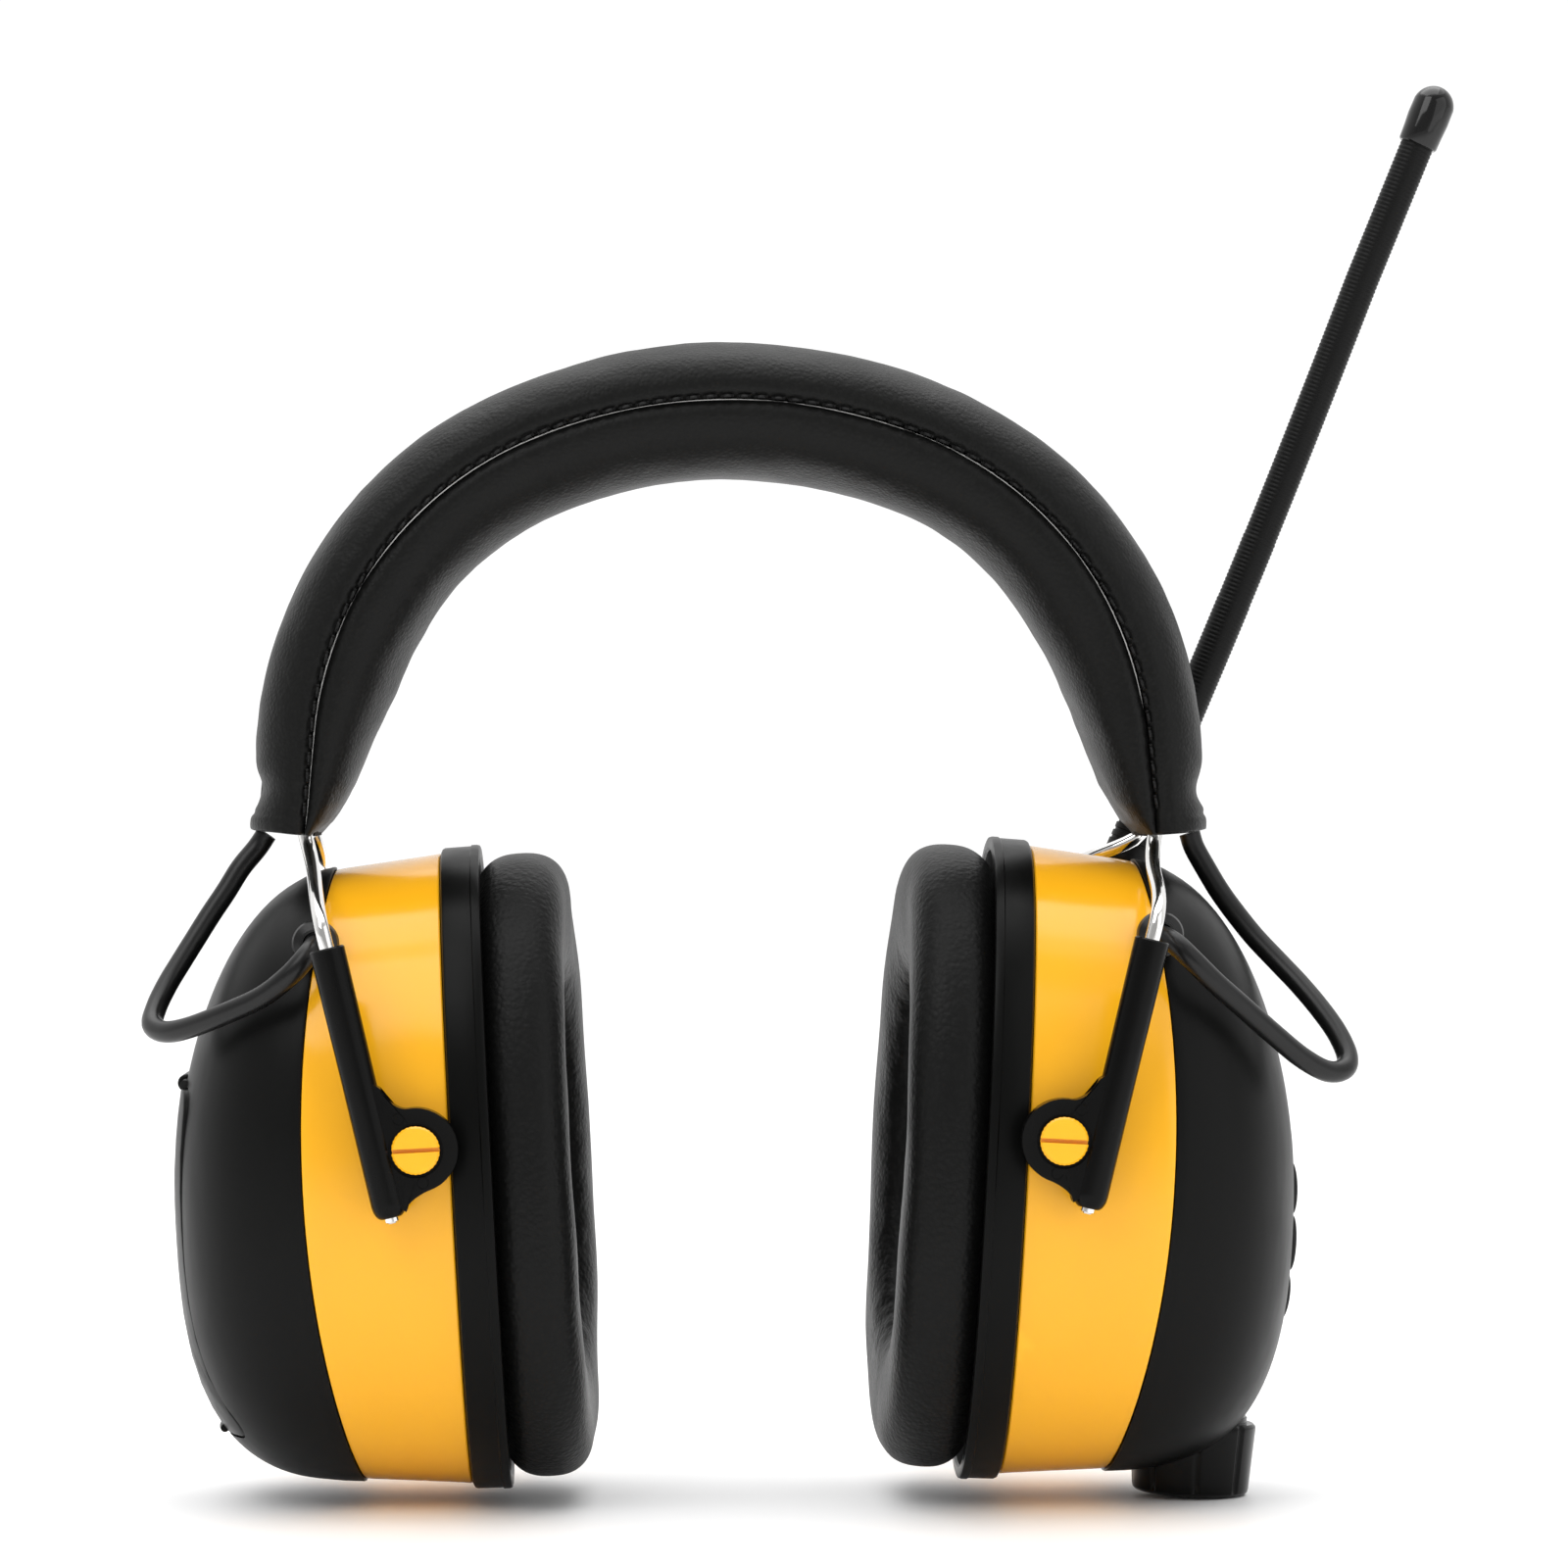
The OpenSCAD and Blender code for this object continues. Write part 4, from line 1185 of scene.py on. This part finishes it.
def keys():
    """Soft keys with a rolled edge and a small raised symbol."""
    tops = {"key_up": 0.80, "key_center": 0.98, "key_down": 0.60}
    for name, (middle, height, width) in KEY_ROWS.items():
        box = (0, middle, width / 2, height / 2, 2.4)

        def proud(y, h, top=tops[name], m=middle, half=height / 2):
            return top - 0.45 * ((h - m) / half) ** 2

        cap = shell_cap(1, box, proud, 3.0, 0.45)
        if name == "key_center":
            marks = [arc(Vector(), 1.5, 0, 360, 28)]
        else:
            flip = 1 if name == "key_up" else -1
            corners = [Vector((-1.7, 0, -1 * flip)), Vector((0, 0, 1.2 * flip)), Vector((1.7, 0, -1 * flip))]
            marks = [corners[:2], corners[1:]]
        raised = []
        for mark in marks:
            route = []
            for p, q in zip(mark, mark[1:]):
                route += [p + (q - p) * (k / 6) for k in range(6)]
            route.append(mark[-1])
            line = []
            for p in route:
                h = middle + p.z
                line.append(cup(1, skin_at(p.x, h) + proud(p.x, h), p.x, h))
            raised.append(tube(line, 0.22, 8))
        finished(solid(joined(cap, *raised), f"{name}_cap"), "key_rubber", name, name, sharp=40)


def knob():
    """Tapered knob with shallow grip flutes, a rolled foot and a collar."""
    r, low = KNOB_R, KNOB_LOW
    profile = [(r - 7.5, low + 0.5), (r - 6.9, low + 0.35), (r - 6.6, low + 0.02), (r - 2.0, low),
               (r - 1.35, low + 0.2), (r - 0.95, low + 0.6), (r - 0.8, low + 1.2)]
    profile += [(r - 0.8 * (1 - k / 8), low + 1.2 + (KNOB_H - 1.9) * k / 8) for k in range(1, 9)]
    profile += [(r - 0.12, low + KNOB_H - 0.35), (r - 0.5, low + KNOB_H), (r - 1.5, low + KNOB_H),
                (r - 1.6, low + KNOB_H + 0.15), (r - 1.6, low + KNOB_H + 1.0), (r - 1.8, low + KNOB_H + 1.2)]

    def flutes(angle, z):
        if not low + 0.9 < z < low + KNOB_H - 0.2:
            return 1.0
        near = cos(8 * angle)
        return 1 - 0.035 * max(0.0, near - 0.86) / 0.14

    shape = moved(revolved(profile, 320, flutes), upright(1, KNOB_A, 0))
    finished(solid(shape, "volume_knob_fluted"), "knob_plastic", "volume_knob", "volume_knob", sharp=30)


def lcd_window():
    shape = shell_cap(1, (*LCD_BOX[:4], 2.1), lambda y, h: -0.25, 1.6, 0.3)
    finished(solid(shape, "lcd_window_lens"), "lcd_glass", "cup_right", "lcd_window", sharp=40)


def on_antenna(p):
    """Puts a turned shape on the antenna's axis, which bows a little."""
    bow = 0.7 * sin(pi * clamp(p.z / 110) * 0.95) if p.z > 8 else 0
    turn = Matrix.Rotation(WHIP_TILT, 3, "Y")
    return SOCKET + turn @ Vector((p.x + bow, p.y, p.z))


def antenna():
    base = [(3.8, -7.4), (4.1, -7.2), (4.1, -2.2), (4.25, -2.0), (4.25, -0.6), (4.1, -0.3), (3.95, -0.1)]
    for k in range(5):
        z, r = 0.4 + 1.5 * k, 3.95 - 0.08 * k
        base += [(r, z), (r, z + 0.9), (r - 0.3, z + 1.05), (r - 0.3, z + 1.35)]
    base += [(3.6, 8.0), (3.25, 8.2)]
    shape = moved(revolved(base, 64), on_antenna)
    finished(solid(shape, "antenna_base_boot"), "antenna_rubber", "cup_right", "antenna_base", sharp=50)
    pitch, top = 0.76, WHIP_LEN - 10.5
    whip = [(2.6, 6.0), (WHIP_R - 0.05, 6.1)]
    count = int((top - 6.5) / pitch)
    for k in range(count):
        z = 6.5 + pitch * k
        wide = WHIP_R - 0.06 * (z > 48) - 0.06 * (z > 60)
        whip += [(wide - 0.10, z), (wide, z + pitch * 0.3), (wide, z + pitch * 0.6),
                 (wide - 0.10, z + pitch * 0.85)]
    whip += [(WHIP_R - 0.5, top)]
    shape = moved(revolved(whip, 40), on_antenna)
    finished(solid(shape, "antenna_whip_ribbed"), "antenna_rubber", "cup_right", "antenna_whip", sharp=60)
    r = 3.75
    cap = [(WHIP_R - 0.3, WHIP_LEN - 11.2), (WHIP_R + 0.15, WHIP_LEN - 11.2),
           (WHIP_R + 0.4, WHIP_LEN - 10.9), (r - 0.15, WHIP_LEN - 8.5), (r, WHIP_LEN - 6.2)]
    cap += [(r * cos(radians(t)), WHIP_LEN - r * 1.05 + r * 1.05 * sin(radians(t)))
            for t in range(10, 90, 8)]
    shape = moved(revolved(cap, 64), on_antenna)
    finished(solid(shape, "antenna_cap_gloss"), "antenna_gloss", "cup_right", "antenna_cap", sharp=40)


keys()
knob()
lcd_window()
antenna()


# ---- CAD nodes that stay: their shape is right, and they get a finish ----

KEPT = {
    "headband_core": "foam", "cable_inner": "cable_rubber",
    "baffle_left": "inner_plastic", "baffle_right": "inner_plastic",
    "speaker_left": "driver_metal", "speaker_right": "driver_metal",
    "shell_screws_left": "screw_steel", "shell_screws_right": "screw_steel",
    "battery_tray": "inner_plastic", "door_hinge_pin": "inner_plastic",
    "main_board": "board", "tuner_can": "shield_metal", "lcd_module": "lcd_panel",
    "key_switches": "inner_plastic", "volume_control": "driver_metal", "aux_jack": "inner_plastic",
}
for node, slot in KEPT.items():
    for material_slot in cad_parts[node].material_slots:
        material_slot.material = finish(slot)


# ---- Floor and light ----

FLOOR_HALF = 8.0
# The paper's colour in front and behind, painted darker in front and lighter behind as painted light, and
# the depths in metres between which it changes
PAPER_NEAR, PAPER_FAR = (0.62,) * 3, (0.95,) * 3
PAPER_SPAN = (-1.0, -0.2)
# The sky's strength from the front of the room to its back, by direction
SKY = (("From Min", -0.7), ("From Max", 0.45), ("To Min", 0.42), ("To Max", 1.06))
# Soft lamps: name, place in mm, size in metres and power in watts
LAMPS = (("key", (-500, -700, 900), 0.7, 4.2), ("fill", (700, -600, 400), 0.9, 2.2),
         ("top", (0, 150, 1100), 1.0, 5.0))


def studio():
    low = cad_box[0][2]
    half = FLOOR_HALF
    mesh = bpy.data.meshes.new("floor")
    mesh.from_pydata([(-half, -half, low), (half, -half, low), (half, half, low), (-half, half, low)], [],
                     [(0, 1, 2, 3)])
    floor = linked("floor", mesh)
    paper = Finish("floor_paper", Specular_IOR_Level=0.3)
    split = paper.add("ShaderNodeSeparateXYZ", {0: paper.place})
    depth = {"Value": split.outputs[1], "From Min": PAPER_SPAN[0], "From Max": PAPER_SPAN[1]}
    near = paper.add("ShaderNodeMapRange", depth, interpolation_type="SMOOTHSTEP")
    # Painted light: the floor's colour runs from darker in front to lighter behind, with a faint random tone
    # on top.
    painted_falloff_and_tone = paper.math("ADD", near.outputs[0], paper.math("MULTIPLY", paper.noise(400, 2.0), 0.03))
    paper.paint(PAPER_NEAR, PAPER_FAR, painted_falloff_and_tone)
    paper.gloss(paper.noise(120), 0.45, 0.6)
    paper.relief((paper.noise(2.0), 0.01))
    floor.data.materials.append(paper.material)

    world = bpy.data.worlds.new("world")
    world.use_nodes = True
    scene.world = world
    tree = world.node_tree
    sky = tree.nodes["Background"]
    place = tree.nodes.new("ShaderNodeTexCoord")
    split = tree.nodes.new("ShaderNodeSeparateXYZ")
    span = tree.nodes.new("ShaderNodeMapRange")
    tree.links.new(place.outputs["Generated"], split.inputs[0])
    tree.links.new(split.outputs["Y"], span.inputs["Value"])
    for socket, value in SKY:
        span.inputs[socket].default_value = value
    tree.links.new(span.outputs["Result"], sky.inputs["Strength"])
    sky.inputs["Color"].default_value = (1, 1, 1, 1)

    sun = bpy.data.lights.new("sky_glow", "SUN")
    sun.energy = 1.2
    sun.angle = radians(80)
    aim(linked("sky_glow", sun), (0, 200, 1000), (0, 0, 0))
    for name, place, size, power in LAMPS:
        light = bpy.data.lights.new(name, "AREA")
        light.size = size
        light.energy = power
        aim(linked(name, light), place, (0, 0, 40))


studio()
scene.view_settings.view_transform = "Standard"
